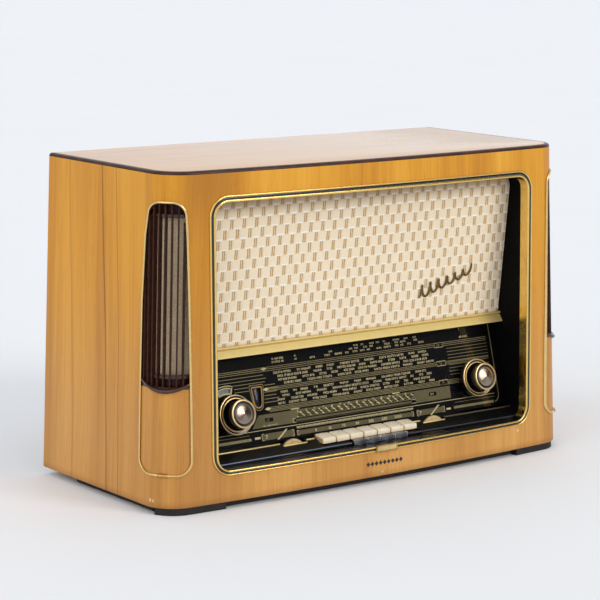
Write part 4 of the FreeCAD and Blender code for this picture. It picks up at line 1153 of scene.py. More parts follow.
# ------------------------------------------------------------------ corner windows
def corner_wires():
    outline = loop_outline(1.2, 16.0, 7.0)
    for side, name in ((-1, "corner_wire_left"), (1, "corner_wire_right")):
        b = Build()
        n = len(outline)
        rings = []
        for i in range(n):
            a, c = Vector(outline[i - 1]), Vector(outline[(i + 1) % n])
            e = (c - a).normalized()
            nn = Vector((-e.y, e.x))
            q = Vector(outline[i])
            ring_ = []
            for j in range(14):
                f = 2 * math.pi * j / 14
                w = q + nn * (1.36 * math.cos(f))
                ring_.append(on_corner(w.x, w.y, -1.13 - 1.18 * math.sin(f), side))
            rings.append(ring_)
        b.loft(rings, 0, loop=True)
        b.done(name, [M["gold_wire"]], slot="trim_gold", replaces=["corner_loops"], angle=60)


corner_wires()


def grille(side, name, node):
    b = Build()
    # frame that lines the slot
    prof = [(2.1, 1.2), (2.1, 9.8), (3.4, 9.8), (3.4, 1.9), (3.2, 1.35), (2.7, 1.1)]
    outs = [slot_outline(k, 141.8 if k < 2.9 else 141.8 + (k - 2.1) * 1.6, 120, 14) for k, _ in prof]
    rings = []
    for i in range(len(outs[0])):
        rings.append([on_corner(outs[j][i][0], outs[j][i][1], prof[j][1], side) for j in range(len(prof))])
    b.loft(rings, 1, loop=True)
    hole = slot_outline(2.8, 142.2, 160, 12)
    # fins with a rounded nose
    nose = [(-1.0, 7.2), (-1.0, 2.2), (-0.95, 1.6), (-0.76, 1.05), (-0.42, 0.72), (0.0, 0.6), (0.42, 0.72), (0.76, 1.05), (0.95, 1.6), (1.0, 2.2), (1.0, 7.2)]
    for i in range(10):
        s = -18.5 + i * 8.4
        p = p_of_side(s)
        zs = [z * 0.5 for z in range(280, 724) if inside(hole, t_of_p(p, z * 0.5, 1.0), z * 0.5)]
        if not zs:
            continue
        z0, z1 = zs[0] - 0.4, zs[-1] + 0.4
        rings = []
        for k in range(27):
            z = lerp(z0, z1, k / 26)
            ring_ = []
            for w, off in nose:
                x, y, nx, ny = skin_flat(p, z, off)
                x, y = x - ny * w, y + nx * w
                ring_.append((x if side < 0 else -x, y, z))
            rings.append(ring_)
        b.loft(rings, 1)
    # cross bars behind the fins, and the blank panels that close the window above and below them
    for z0, z1 in ((341.5, 346.0), (153.0, 157.5)):
        zm = (z0 + z1) / 2
        ts = [t * 0.25 for t in range(0, 320) if inside(hole, t * 0.25, zm)]
        rings = []
        for k in range(29):
            t = lerp(ts[0] - 0.5, ts[-1] + 0.5, k / 28)
            rings.append([on_corner(t, z, off, side) for z, off in ((z0, 9.5), (z0, 4.6), (z0 + 0.5, 4.1), (z1 - 0.5, 4.1), (z1, 4.6), (z1, 9.5))])
        b.loft(rings, 0)
    for z0, z1 in ((345.8, max(q[1] for q in hole) - 1.0), (142.6, 153.2)):
        rings = []
        for k in range(29):
            ends = []
            for z in (z0, z1):
                ts = [t * 0.25 for t in range(0, 320) if inside(hole, t * 0.25, z)]
                ends.append(lerp(ts[0] - 0.3, ts[-1] + 0.3, k / 28))
            rings.append([on_corner(t, z, off, side) for t, z, off in ((ends[0], z0, 9.7), (ends[0], z0, 8.8), (ends[1], z1, 8.8), (ends[1], z1, 9.7))])
        b.loft(rings, 1)
    # crescent lip at the foot
    rings = []
    for k in range(41):
        f = k / 40
        t = lerp(5.8, 69.6, f)
        g = (t - 37.7) / 31.9
        zb = 136.5 + g * g * lerp(9.5, 12.5, f)
        zt = 141.9 + g * g * lerp(7.6, 10.6, f)
        bulge = math.sqrt(max(0.0, 1.0 - min(1.0, abs(g)) ** 2.6))
        bulge = 0.12 + 0.88 * bulge
        span = zt - zb
        foot = min(141.6, zt - 0.2)
        ring_ = [on_corner(t, zb, -0.06, side)]
        for fr, o in ((0.02, 0.9), (0.10, 2.1), (0.24, 3.2), (0.42, 3.85), (0.60, 4.0), (0.78, 3.75), (0.90, 3.1), (0.97, 2.2), (1.0, 1.2)):
            ring_.append(on_corner(t, zb + span * fr, -0.06 - o * bulge, side))
        ring_.append(on_corner(t, zt, 5.8, side))
        ring_.append(on_corner(t, foot, 5.8, side))
        ring_.append(on_corner(t, foot, -0.06, side))
        rings.append(ring_)
    b.loft(rings, 0)
    b.done(name, [M["grille"], M["grille_fin"]], slot="grille_brown", replaces=[node], angle=36)


grille(-1, "corner_grille_left", "side_grille_left")
grille(1, "corner_grille_right", "side_grille_right")


def unrolled(t, z, off):
    """A point of the corner window laid flat: distance round the bend at depth off, and height."""
    p = p_of_t(t, z, off)
    if p <= 1.0:
        return SEG_LEN[0] * p, z
    bend = SEG_LEN[1] * (CR - off) / CR
    if p <= 2.0:
        return SEG_LEN[0] + bend * (p - 1.0), z
    return SEG_LEN[0] + bend + SEG_LEN[2] * (p - 2.0), z


def side_sheets():
    full = loop_outline(0.5, 16.0, 4.0)
    outline = [p for p in full if p[1] > 136.4]
    k = max(range(len(full)), key=lambda i: (full[i][1] <= 136.4) and (full[(i + 1) % len(full)][1] > 136.4))
    outline = [full[(k + 1 + i) % len(full)] for i in range(len(outline))]
    outline = [q for q in outline if q[1] < 365.5]
    extra = [(t, z) for t in range(4, 72, 3) for z in range(140, 362, 12) if inside(outline, t - 1.0, z) and inside(outline, t + 1.0, z)]
    # the cut: the window's outline unrolled, worked out from the outline alone
    cut = [unrolled(t, z, 10.65) for t, z in outline]
    cut_w = (max(q[0] for q in cut) - min(q[0] for q in cut)) * 0.001
    cut_h = (max(q[1] for q in cut) - min(q[1] for q in cut)) * 0.001
    cut_area = abs(area2(cut)) * 1e-6
    for side, name in ((-1, "side_cloth_left"), (1, "side_cloth_right")):
        b = Build()
        b.solid_plate(outline, [], lambda t, z, h: on_corner(t, z, h, side), 10.2, 11.1, 0, extra=extra)
        ob = b.done(name, [M["cloth_side"]], slot="cloth_side", replaces=["side_cloths"])


side_sheets()


# ------------------------------------------------------------------ speaker cloth
def cloth_height(x, s):
    """Relief 0..1 with masks for pads, slits and the painted highlight along the pads' lower edge."""
    pw, ph = 18.32, 12.78
    best = (0.0, 0.0, 0.0)
    row = math.floor(s / ph)
    pad = edge = 0.0
    g_min = None
    for r in (row - 1, row, row + 1):
        cs = (r + 0.5) * ph
        shift = 0.5 * pw * (r % 2)
        k = round((x - shift) / pw)
        cx = k * pw + shift
        jig = math.sin(k * 12.9898 + r * 78.233) * 0.30
        dx, ds = (x - cx - jig) / 6.35, (s - cs) / 6.95
        q = (abs(dx) ** 3.4 + abs(ds) ** 4.2)
        if q < 1.0:
            v = (1.0 - q) ** 0.42
            if v > pad:
                pad = v
                # mask of the painted highlight along the pad's lower rim
                edge = 1.0 if (ds < -0.72 and q > 0.25) else 0.0
        if r == row:
            g_min = 0.5 * pw - abs(x - cx)
    slit = 0.0
    if pad < 0.35:
        g = g_min
        for c, w in ((1.35, 0.50),):
            d = abs(g - c + 0.18 * math.sin(s * 2.1))
            if d < w * 1.7:
                slit = max(slit, 1.0 - d / (w * 1.7))
        slit *= 1.0 - pad / 0.35
    height = max(0.0, 0.42 * (1.0 - slit)) if pad <= 0 else max(0.42 * (1.0 - slit), 0.25 + 0.75 * pad)
    return height, min(1.0, pad * 2.2), slit, edge * min(1.0, pad * 2.5)


def speaker_cloth():
    b = Build()
    hx, s0, s1, r = 245.6, -1.6, 192.0, 19.0
    nx, ns = 612, 236
    cx, cz = hx - r, (OPEN_ZT - 7.0) - r
    s_c = (cz - 167.0) / 0.99443
    idx, pad, slit, edge = [], [], [], []
    for j in range(ns + 1):
        row = []
        for i in range(nx + 1):
            x = lerp(-hx, hx, i / nx)
            top = s1
            if abs(x) > cx:
                top = min(s1, s_c + math.sqrt(max(0.0, r * r - (abs(x) - cx) ** 2)))
            s = min(lerp(s0, s1, j / ns), top)
            hgt, pd, sl, ed = cloth_height(x + 2.4, s + 1.6)
            rim = min(1.0, max(0.0, (hx - 1.2 - abs(x)) / 2.5))
            row.append(b.vert(on(CLOTH, x, s, -1.45 + 1.30 * lerp(0.45, hgt, rim))))
            pad.append(pd)
            slit.append(sl)
            edge.append(ed)
        idx.append(row)
    for j in range(ns):
        for i in range(nx):
            q = (idx[j][i], idx[j][i + 1], idx[j + 1][i + 1], idx[j + 1][i])
            a, c = Vector(b.v[q[0]]), Vector(b.v[q[3]])
            a2, c2 = Vector(b.v[q[1]]), Vector(b.v[q[2]])
            if (a - c).length < 1e-4 and (a2 - c2).length < 1e-4:
                continue
            if (a - c).length < 1e-4:
                b.face((q[0], q[1], q[2]))
            elif (a2 - c2).length < 1e-4:
                b.face((q[0], q[1], q[3]))
            else:
                b.face(q)
    me = bpy.data.meshes.new("grille_cloth")
    me.from_pydata([W(p) for p in b.v], [], b.f)
    me.materials.append(M["cloth_front"])
    for nm, data in (("pad", pad), ("slit", slit), ("edge", edge)):
        at = me.attributes.new(nm, "FLOAT", "POINT")
        at.data.foreach_set("value", data)
    me.polygons.foreach_set("use_smooth", [True] * len(me.polygons))
    bm = bmesh.new()
    bm.from_mesh(me)
    bmesh.ops.remove_doubles(bm, verts=bm.verts, dist=1e-6)
    bmesh.ops.delete(bm, geom=[v for v in bm.verts if not v.link_faces], context="VERTS")
    bmesh.ops.recalc_face_normals(bm, faces=bm.faces)
    if sum(f.normal.y for f in bm.faces) > 0:
        bmesh.ops.reverse_faces(bm, faces=bm.faces)
    bm.to_mesh(me)
    bm.free()
    ob = bpy.data.objects.new("grille_cloth", me)
    scene.collection.objects.link(ob)
    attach(ob, "cabinet")
    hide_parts("speaker_cloth")


speaker_cloth()


def flourish():
    """A rising line of linked waves in cast brass."""
    path = []
    n = 150
    for i in range(n + 1):
        f = i / n
        x = lerp(104.0, 191.0, f)
        amp = lerp(9.5, 4.6, f ** 0.7) * (0.55 + 0.45 * math.sin(math.pi * min(1.0, f * 6 + 0.12)) if f < 0.08 else 1.0)
        s = 44.0 + 24.0 * f + amp * math.sin(f * 2 * math.pi * 6.5 - 1.1) + (4.0 * (f - 0.9) / 0.1 if f > 0.9 else 0.0)
        path.append((x + 2.6 * math.sin(f * 2 * math.pi * 6.5 + 0.5), s))
    b = Build()
    rings = []
    for i, (x, s) in enumerate(path):
        a, c = Vector(path[max(0, i - 1)]), Vector(path[min(n, i + 1)])
        e = (c - a).normalized()
        nn = Vector((-e.y, e.x))
        w = 1.22 * (0.45 + 0.55 * min(1.0, i / 8.0, (n - i) / 8.0)) * (1.0 + 0.35 * abs(e.y))
        ring_ = []
        for j in range(10):
            f = 2 * math.pi * j / 10
            ring_.append(on(CLOTH, x + nn.x * w * math.cos(f), s + nn.y * w * math.cos(f), 1.05 + 0.85 * math.sin(f)))
        rings.append(ring_)
    b.loft(rings, 0)
    b.done("cloth_flourish", [M["brass_dark"]], slot="trim_gold", replaces=["cloth_ornament"], angle=50)


flourish()

# ------------------------------------------------------------------ rail and shelf
b = Build()
# a bright bead along the top, a thin groove under it, then a wide face that leans back
RAIL = [(-217.0, 173.4), (-219.5, 173.5), (-220.4, 173.0), (-220.8, 172.3), (-220.6, 171.5), (-219.0, 170.9), (-217.8, 170.4), (-218.2, 169.8), (-219.7, 169.5), (-224.6, 162.2), (-225.0, 161.4), (-224.6, 160.6), (-214.6, 160.2), (-214.6, 163.2), (-217.0, 165.2)]
prof = soften(RAIL, 0.3, 4)
b.loft([[(x, y, z) for y, z in prof] for x in (-245.9, -200, -150, -100, -50, 0, 50, 100, 150, 200, 245.9)], 0)
b.done("dial_rail_brass", [M["gold_rail"]], slot="trim_gold", replaces=["dial_rail"], angle=25)

# thin brass line along the back of the shelf, stopped at the wheels and the keys; its right-hand run takes a dark copy
# of the brass as painted shade
b = Build()
for x0, x1 in ((-245.2, -131.4), (-128.6, -92.8), (-90.8, -78.6), (78.6, 90.8), (92.8, 128.6), (131.4, 244.9)):
    low = x0 in (-128.6, 92.8)
    y0, z0 = (-249.4, 47.9) if low else (-245.4, 49.95)
    prof = soften([(y0, z0 - 0.2), (y0 + 1.5, z0 + 0.25), (y0 + 1.5, z0 + 1.35), (y0, z0 + 1.0)], 0.25, 3)
    add_bar(b, prof, x0, x1, 0.3, 1 if x1 > 200 else 0)
b.done("shelf_line", [M["gold_line"], M["line_dull"]], slot="trim_gold", angle=40)

# the bright nose along the shelf's front edge, stopped at the register keys: its bluish tint is a painted reflection,
# and its right-hand run a darker copy as painted shade
b = Build()
for x0, x1 in ((-244.9, -33.4), (54.8, 244.9)):
    prof = soften([(-262.7, 41.2), (-262.7, 41.75), (-262.2, 42.2), (-261.3, 42.3), (-261.5, 41.8), (-262.02, 41.5), (-262.02, 41.2)], 0.15, 3)
    add_bar(b, prof, x0, x1, 0.3, 1 if x1 > 200 else 0)
b.done("shelf_nose", [M["edge_sheen"], M["edge_dull"]], slot="trim_black", angle=40)


def apron():
    """The black strip between the shelf and the front trim, along the bottom of the opening."""
    b = Build()
    lo_path, hi_path = rr_path(8.55, 16, 44, 18), rr_path(8.95, 16, 44, 18)
    keep = [i for i in range(len(lo_path)) if lo_path[i][1] < OPEN_ZB + 0.75 * 8.55 + 5.0]
    keep.sort(key=lambda i: lo_path[i][0])
    rings = []
    for i in keep:
        (xa, za), (xb, zb) = lo_path[i], hi_path[i]
        rings.append([(xa, front_y(xa, za, -0.2), za), (xa, front_y(xa, za, 15.8), za), (xb, front_y(xb, zb, 15.8), zb), (xb, front_y(xb, zb, 0.1), zb)])
    b.loft(rings, 0)
    b.done("front_apron", [M["shelf_black"]], slot="trim_black", angle=40)


apron()

# ------------------------------------------------------------------ knobs
def knob(name, node, body, x, profile, mats, slots, tail_parts):
    b = revolve(profile, 112, mats)
    for prof, mt in tail_parts:
        add_revolved(b, prof, 64, mt)
    b.done(name, slots, body=body, slot="knob", replaces=[node], angle=32, matrix=frame_matrix(DIAL, x, KNOB_S))


def seg_mats(profile, rule):
    out = []
    for i in range(len(profile)):
        a, c = profile[i], profile[(i + 1) % len(profile)]
        out.append(rule((a[0] + c[0]) / 2, (a[1] + c[1]) / 2))
    return out


INNER = [(3.05, 13.9), (15.4, 13.9), (16.0, 14.5), (16.45, 24.9), (17.1, 25.6), (17.6, 26.3), (17.75, 27.2), (17.5, 28.0), (16.8, 28.45), (16.0, 28.5), (15.3, 28.1), (14.9, 27.5), (14.3, 27.25), (12.9, 27.2), (12.55, 27.4), (12.4, 27.75), (12.0, 27.95), (0.0, 30.15), (0.0, 13.0), (3.05, 13.0)]
inner_prof = INNER[:1] + soften(INNER[1:4], 0.4, 3, closed=False) + INNER[4:17] + [(9.0, 28.5), (6.0, 29.06), (3.0, 29.6), (1.0, 29.98)] + INNER[17:]


def inner_rule(r, h):
    if h > 26.2 and r > 15.5:
        return 1
    if h > 27.0 and 12.5 < r < 15.5:
        return 2
    if h > 27.3 and r <= 12.5:
        return 3
    return 0


SHAFT = lambda tail: [(0.0, 13.2), (3.0, 13.2), (3.0, -tail), (0.0, -tail)]
for nm, node, x, tail, extra in (
    ("volume_knob_small", "volume_knob", -KNOB_X, 28.0, []),
    ("am_tuning_knob_small", "am_tuning_knob", KNOB_X, 27.0, [(soften([(3.0, -18.5), (26.0, -18.5), (26.0, -20.0), (24.6, -21.0), (24.6, -24.0), (26.0, -25.0), (26.0, -26.5), (3.0, -26.5)], 0.3, 2), 4)]),
):
    knob(nm, node, node, x, inner_prof, seg_mats(inner_prof, inner_rule), [M["knob_black"], M["rim"], M["ring"], M["spun"], M["steel"]], [(SHAFT(tail), 4), *extra])

OUTER = [(5.5, 1.2), (21.8, 1.2), (22.6, 2.0), (23.2, 9.4), (24.0, 10.0), (24.55, 10.7), (24.7, 11.5), (24.5, 12.4), (24.1, 12.95), (23.6, 13.05), (23.1, 12.8), (22.85, 12.3), (20.95, 12.0), (20.75, 12.45), (20.35, 12.78), (19.85, 12.82), (19.4, 12.5), (19.2, 11.8), (18.6, 11.0), (17.6, 10.3), (16.0, 10.1), (5.5, 10.1)]


def outer_rule(r, h):
    if r > 22.9 and h > 11.2:
        return 1
    if 19.15 < r < 20.93 and h > 12.0:
        return 1
    return 0


for nm, node, x, ring_r in (("antenna_knob_ring", "antenna_knob", -KNOB_X, 8.0), ("fm_tuning_knob_ring", "fm_tuning_knob", KNOB_X, 9.0)):
    tails = [([(3.06, 10.0), (5.5, 10.0), (5.5, 1.25), (5.0, 1.2), (5.0, -16.0), (3.06, -16.0)], 2), (soften([(5.0, -12.6), (ring_r, -12.6), (ring_r, -16.0), (5.0, -16.0)], 0.3, 2), 2)]
    if node == "antenna_knob":
        tails.append(([(5.0, -5.4), (35.8, -5.4), (36.0, -5.6), (36.0, -6.2), (35.8, -6.4), (5.0, -6.4)], 3))
    knob(nm, node, node, x, OUTER, seg_mats(OUTER, outer_rule), [M["knob_black"], M["rim"], M["steel"], M["ink_grey"]], tails)

# ------------------------------------------------------------------ keys
for i in range(7):
    xc = -PITCH * 3.5 + PITCH * (i + 0.5)
    hwk = (PITCH - 0.9) / 2.0
    b = Build()
    cap = [(-258.0, 45.6), (-258.0, 50.9), (-257.75, 51.6), (-257.2, 52.1), (-256.4, 52.35), (-249.0, 53.45), (-241.4, 54.55), (-240.6, 54.55), (-240.0, 54.2), (-239.75, 53.6), (-239.7, 45.6)]
    xs = ((-hwk, 1.9), (-hwk + 0.18, 1.15), (-hwk + 0.6, 0.52), (-hwk + 1.3, 0.14), (-hwk + 2.1, 0.0), (0.0, -0.18), (hwk - 2.1, 0.0), (hwk - 1.3, 0.14), (hwk - 0.6, 0.52), (hwk - 0.18, 1.15), (hwk, 1.9))
    rings = []
    for dx, d in xs:
        ring_ = []
        for y, z in cap:
            zz = z - (d if z > 50.5 else 0.0)
            yy = y + (d * 0.7 if y < -257.0 else (-d * 0.3 if y > -240.3 else 0.0))
            ring_.append((xc + dx, yy, zz))
        rings.append(ring_)
    b.loft(rings, 0)
    add_block(b, xc - 5.0, xc + 5.0, -242.0, -202.3, 45.55, 48.8, 0.5, 1)
    add_revolved(b, [(1.55, -5.0), (4.0, -5.0), (4.0, 5.0), (1.55, 5.0)], 32, 1, (xc, -198.0, 47.0), "x")
    add_block(b, xc - 4.0, xc + 4.0, -194.2, -188.0, 45.6, 48.6, 0.4, 1)
    b.done("key_cap_%d" % (i + 1), [M["ivory"], M["steel_zinc"]], body="piano_key_%d" % (i + 1), slot="ivory", replaces=["piano_key_%d" % (i + 1)], angle=40)

for i in range(4):
    xc = -PITCH * 3.5 + PITCH * 2 + PITCH * (i + 0.5)
    hwk = (PITCH - 1.4) / 2.0
    b = Build()
    prof = soften([(-265.6, 38.95), (-265.6, 44.7), (-264.9, 45.25), (-259.2, 45.4), (-258.8, 45.0), (-258.8, 38.95)], 0.5, 3)
    add_bar(b, prof, xc - hwk + 0.9, xc + hwk - 0.9, 0.35, 0)
    for e in (-1, 1):
        xe = xc + e * (hwk - 0.45)
        add_bar(b, soften([(-265.6, 38.95), (-265.6, 44.85), (-264.8, 45.4), (-259.1, 45.4), (-258.8, 45.0), (-258.8, 38.95)], 0.4, 3), xe - 0.45, xe + 0.45, 0.25, 1)
    add_block(b, xc - 2.95, xc + 2.95, -264.45, -261.05, 19.6, 40.0, 0.3, 2)
    b.done("register_cap_%d" % (i + 1), [M["reg_key"], M["chrome"], M["steel_zinc"]], body="register_key_%d" % (i + 1), slot="chrome_key", replaces=["register_key_%d" % (i + 1)], angle=36)


# ------------------------------------------------------------------ tone wheels
def wheel(x, name, node):
    n = 60
    b = Build()
    rings = []
    for y, dr in ((-246.8, -0.9), (-246.5, -0.35), (-245.9, 0.0), (-243.3, 0.0), (-242.7, -0.35), (-242.4, -0.9)):
        ring_ = []
        for i in range(n * 5):
            a = 2 * math.pi * i / (n * 5)
            k = i % 5
            r = WHEEL_R + dr - (0.42 if k == 0 else (0.20 if k in (1, 4) else 0.0)) * (1.0 if dr > -0.8 else 0.3)
            ring_.append((x + r * math.cos(a), y, WHEEL_Z + r * math.sin(a)))
        rings.append(ring_)
    # dished front face
    for y, r in ((-246.8, 15.6), (-246.4, 15.0), (-246.4, 4.4)):
        rings.insert(0, [(x + r * math.cos(2 * math.pi * i / (n * 5)), y, WHEEL_Z + r * math.sin(2 * math.pi * i / (n * 5))) for i in range(n * 5)])
    b.loft(rings, 0)
    add_revolved(b, [(0.0, -243.0), (3.0, -243.0), (3.0, -230.4), (0.0, -230.4)], 32, 1, (x, 0, WHEEL_Z), "y")
    b.done(name, [M["ivory_wheel"], M["steel"]], body=node, slot="ivory_wheel", replaces=[node], angle=30)


wheel(-WHEEL_X, "bass_wheel_milled", "bass_wheel")
wheel(WHEEL_X, "treble_wheel_milled", "treble_wheel")

# ------------------------------------------------------------------ dial
GLYPHS = {}


def glyph(ch):
    if ch in GLYPHS:
        return GLYPHS[ch]
    cu = bpy.data.curves.new("glyph", "FONT")
    cu.body, cu.size, cu.resolution_u, cu.fill_mode, cu.offset = ch, 1.0, 2, "FRONT", 0.018
    ob = bpy.data.objects.new("glyph", cu)
    scene.collection.objects.link(ob)
    me = bpy.data.meshes.new_from_object(ob.evaluated_get(bpy.context.evaluated_depsgraph_get()))
    vs = [(v.co.x, v.co.y) for v in me.vertices]
    fs = [tuple(p.vertices) for p in me.polygons]
    # boundary edges give the side walls
    count = {}
    for f in fs:
        for i in range(len(f)):
            e = (f[i], f[(i + 1) % len(f)])
            count[e] = count.get(e, 0) + 1
    rim = [e for e in count if (e[1], e[0]) not in count]
    wide = max((v[0] for v in vs), default=0.5)
    bpy.data.objects.remove(ob)
    bpy.data.curves.remove(cu)
    bpy.data.meshes.remove(me)
    GLYPHS[ch] = (vs, fs, rim, wide)
    return GLYPHS[ch]


class Print:
    """Ink laid on the dial's back surface as thin plates, in dial coordinates x, s."""

    def __init__(self, h0=-3.10, h1=-3.04):
        self.b, self.h0, self.h1 = Build(), h0, h1

    def to3(self, x, s, h):
        return on(DIAL, x, s, h)

    def poly(self, pts, mat=0):
        lo = self.b.row([self.to3(x, s, self.h0) for x, s in pts])
        hi = self.b.row([self.to3(x, s, self.h1) for x, s in pts])
        self.b.face(hi, mat)
        self.b.face(lo[::-1], mat)
        self.b.bridge(lo, hi, mat)

    def rect(self, x0, x1, s0, s1, mat=0):
        self.poly([(x0, s0), (x1, s0), (x1, s1), (x0, s1)], mat)

    def line(self, pts, w, mat=0, closed=False):
        pts = [Vector(p) for p in pts]
        n = len(pts)
        left, right = [], []
        for i in range(n):
            a = pts[i - 1] if (i or closed) else pts[i]
            c = pts[(i + 1) % n] if (i < n - 1 or closed) else pts[i]
            e = (c - a).normalized()
            nn = Vector((-e.y, e.x)) * (w / 2)
            left.append(tuple(pts[i] + nn))
            right.append(tuple(pts[i] - nn))
        k = n if closed else n - 1
        lo_l = self.b.row([self.to3(*q, self.h0) for q in left])
        hi_l = self.b.row([self.to3(*q, self.h1) for q in left])
        lo_r = self.b.row([self.to3(*q, self.h0) for q in right])
        hi_r = self.b.row([self.to3(*q, self.h1) for q in right])
        for i in range(k):
            j = (i + 1) % n
            self.b.face((hi_l[i], hi_l[j], hi_r[j], hi_r[i]), mat)
            self.b.face((lo_l[i], lo_r[i], lo_r[j], lo_l[j]), mat)
            self.b.face((lo_l[i], lo_l[j], hi_l[j], hi_l[i]), mat)
            self.b.face((lo_r[i], hi_r[i], hi_r[j], lo_r[j]), mat)
        if not closed:
            for i in (0, n - 1):
                self.b.face((lo_l[i], hi_l[i], hi_r[i], lo_r[i]), mat)

    def text(self, body, x, s, cap, mat=0, spread=1.08, slant=0.0):
        k = cap / 0.70
        for ch in body:
            if ch == " ":
                x += k * 0.32
                continue
            vs, fs, rim, wide = glyph(ch)
            lo = self.b.row([self.to3(x + k * vx + slant * vy * k, s + k * vy, self.h0) for vx, vy in vs])
            hi = self.b.row([self.to3(x + k * vx + slant * vy * k, s + k * vy, self.h1) for vx, vy in vs])
            for f in fs:
                self.b.face([hi[i] for i in f], mat)
                self.b.face([lo[i] for i in reversed(f)], mat)
            for i, j in rim:
                self.b.face((lo[i], lo[j], hi[j], hi[i]), mat)
            x += k * (wide + 0.07) * spread
        return x

    def numbers(self, x0, x1, s, cap, rng, fill=0.62, mat=0):
        x = x0
        while x < x1 - 6:
            n = rng.choice((3, 3, 4, 4, 5, 6))
            body = "".join(rng.choice("0123456789") for _ in range(n))
            x = self.text(body, x, s, cap, mat) + rng.uniform(0.4, 2.4) / max(fill, 0.1) * (2.4 if rng.random() < 0.30 else 1.0)

    def done(self, name, mats, slot="glass_dial"):
        return self.b.done(name, mats, slot=slot, angle=30)


def arc_pts(cx, cy, r, a0, a1, n):
    return [(cx + r * math.cos(math.radians(lerp(a0, a1, i / n))), cy + r * math.sin(math.radians(lerp(a0, a1, i / n)))) for i in range(n + 1)]


EYE = soften([(-155.0, 70.4), (-153.6, 49.6), (-151.4, 46.0), (-147.6, 44.6), (-143.9, 46.0), (-142.0, 49.6), (-139.6, 70.2)], 1.6, 5)
EYE_FRAME = soften([(-158.2, 73.0), (-155.0, 47.6), (-151.6, 42.6), (-146.9, 41.4), (-142.2, 43.6), (-140.4, 48.0), (-136.6, 72.8)], 2.4, 6)
FAN = arc_pts(-KNOB_X, KNOB_S, 33.4, 112, 76, 14) + arc_pts(-KNOB_X, KNOB_S, 27.0, 76, 112, 12)
FAN_FRAME = arc_pts(-KNOB_X, KNOB_S, 36.4, 114, 74, 16) + arc_pts(-KNOB_X, KNOB_S, 26.0, 74, 114, 12)
SLOT_FM = [(-95.5, 21.7), (88.5, 21.7), (88.5, 24.0), (-95.5, 24.0)]


def hole_circle(x, s, r, n=48):
    return [(x + r * math.cos(2 * math.pi * i / n), s + r * math.sin(2 * math.pi * i / n)) for i in range(n)]


b = Build()
outer = [(-245.2, 1.4), (245.2, 1.4), (245.2, 114.0), (-245.2, 114.0)]
b.solid_plate(outer, [EYE, FAN, SLOT_FM, hole_circle(-KNOB_X, KNOB_S, 5.9), hole_circle(KNOB_X, KNOB_S, 5.9)], lambda x, s, h: on(DIAL, x, s, h), -3.30, -3.13, 0)
for xa, xb in ((-245.36, -245.2), (245.2, 245.36)):
    ends = []
    for x in (xa, xb):
        ends.append([on(DIAL, x, s_, h) for s_, h in ((1.4, -3.3), (114.0, -3.3), (114.0, -0.03), (1.4, -0.03))])
    b.loft(ends, 0)
b.done("dial_lacquer", [M["ink_black"]], slot="glass_dial", angle=30)
b = Build()
rows = []
for x in (-104.0, 100.0):
    rows.append([on(DIAL, x, s_, h) for s_, h in ((15.5, -9.95), (33.0, -9.95), (33.0, -9.75), (15.5, -9.75))])
b.loft(rows, 0)
b.done("fm_scale_backing", [M["ink_slot"]], slot="glass_dial", angle=30)

# the rounded smoked visor standing behind the tuning eye's window
b = Build()
rows = []
for s_ in (41.8, 42.4, 56.0, 72.0, 72.6):
    k = 0.94 if s_ in (41.8, 72.6) else 1.0
    hw_ = k * lerp(6.2, 9.6, (s_ - 42.0) / 30.0)
    rows.append([on(DIAL, -147.0 + hw_ * math.cos(math.pi * i / 18.0), s_, -9.9 + 5.6 * k * math.sin(math.pi * i / 18.0)) for i in range(19)])
b.loft(rows, 0)
b.done("tuning_eye_visor", [M["ring"]], slot="glass_dial", angle=40)

rng = random.Random(11)
p1 = Print()
INK, DIM, STRIP, ORANGE, BLACK = 0, 1, 2, 3, 4

# window frames
p1.line(EYE, 1.5, ORANGE, closed=True)
p1.line(EYE_FRAME, 0.9, DIM, closed=True)
p1.line(FAN, 1.0, INK, closed=True)
p1.line(FAN_FRAME, 0.8, INK, closed=True)

# ruled line groups
for s in (92.6, 90.5, 88.2):
    p1.rect(-201.0 if s > 92 else -243.5, 229.0, s - 0.38, s + 0.38, DIM)
for s in (67.6, 65.8, 63.9):
    p1.rect(-133.0, 229.0, s - 0.38, s + 0.38, DIM)
for s in (43.4, 41.7, 40.0, 38.4):
    p1.rect(-133.0, 229.0, s - 0.40, s + 0.40, DIM)
s = 84.0
while s > 46.0:
    left_x1 = -133.0 - 2.2 * math.sin(s)
    if s > 75.0:
        p1.rect(-243.5, left_x1, s - 0.42, s + 0.42, DIM)
    else:
        if s > 63.0:
            p1.rect(-180.5, -159.5 + (73.0 - s) * 0.1, s - 0.42, s + 0.42, DIM)
        p1.rect(-134.5 - (73.0 - s) * 0.16, left_x1 + 16.0, s - 0.42, s + 0.42, DIM)
    p1.rect(160.0, 229.0 - (10.0 if 60 < s < 66 else 0.0), s - 0.36, s + 0.36, DIM)
    s -= 4.25
p1.rect(-243.5, 229.0, 16.9, 17.5, INK)
p1.rect(-243.5, -168.0, 13.0, 13.5, DIM)
p1.rect(160.0, 229.0, 13.0, 13.5, DIM)
p1.rect(-243.5, -166.0, 6.2, 9.6, DIM)
p1.rect(157.0, 226.0, 5.4, 8.6, DIM)

# border at the right end, turning into the bottom bar
p1.line([(236.0, 108.4), (236.0, 18.0)] + arc_pts(226.0, 16.0, 10.0, 0, -78, 10), 1.5, DIM)

# header numbers over the first scale
p1.text("12 450 086", -118.9, 100.6, 2.5, INK)
p1.text("31 0725 48", -118.9, 96.6, 2.5, INK)
p1.text("20 15 7", -20.0, 96.2, 2.2, INK)
p1.text("41", -84.0, 100.8, 2.3, INK)
p1.text("49", -84.0, 96.8, 2.3, INK)
p1.numbers(-60.0, 128.0, 96.0, 2.3, rng, 0.35)
p1.numbers(-30.0, 120.0, 99.9, 2.3, rng, 0.22)
p1.numbers(10.0, 124.0, 103.6, 2.1, rng, 0.18)
p1.text("7 6", -206.0, 95.0, 2.6, INK)
p1.text("30 41 52", -238.0, 90.9, 2.8, INK)
p1.text("68 4103", 184.0, 95.4, 2.6, INK)
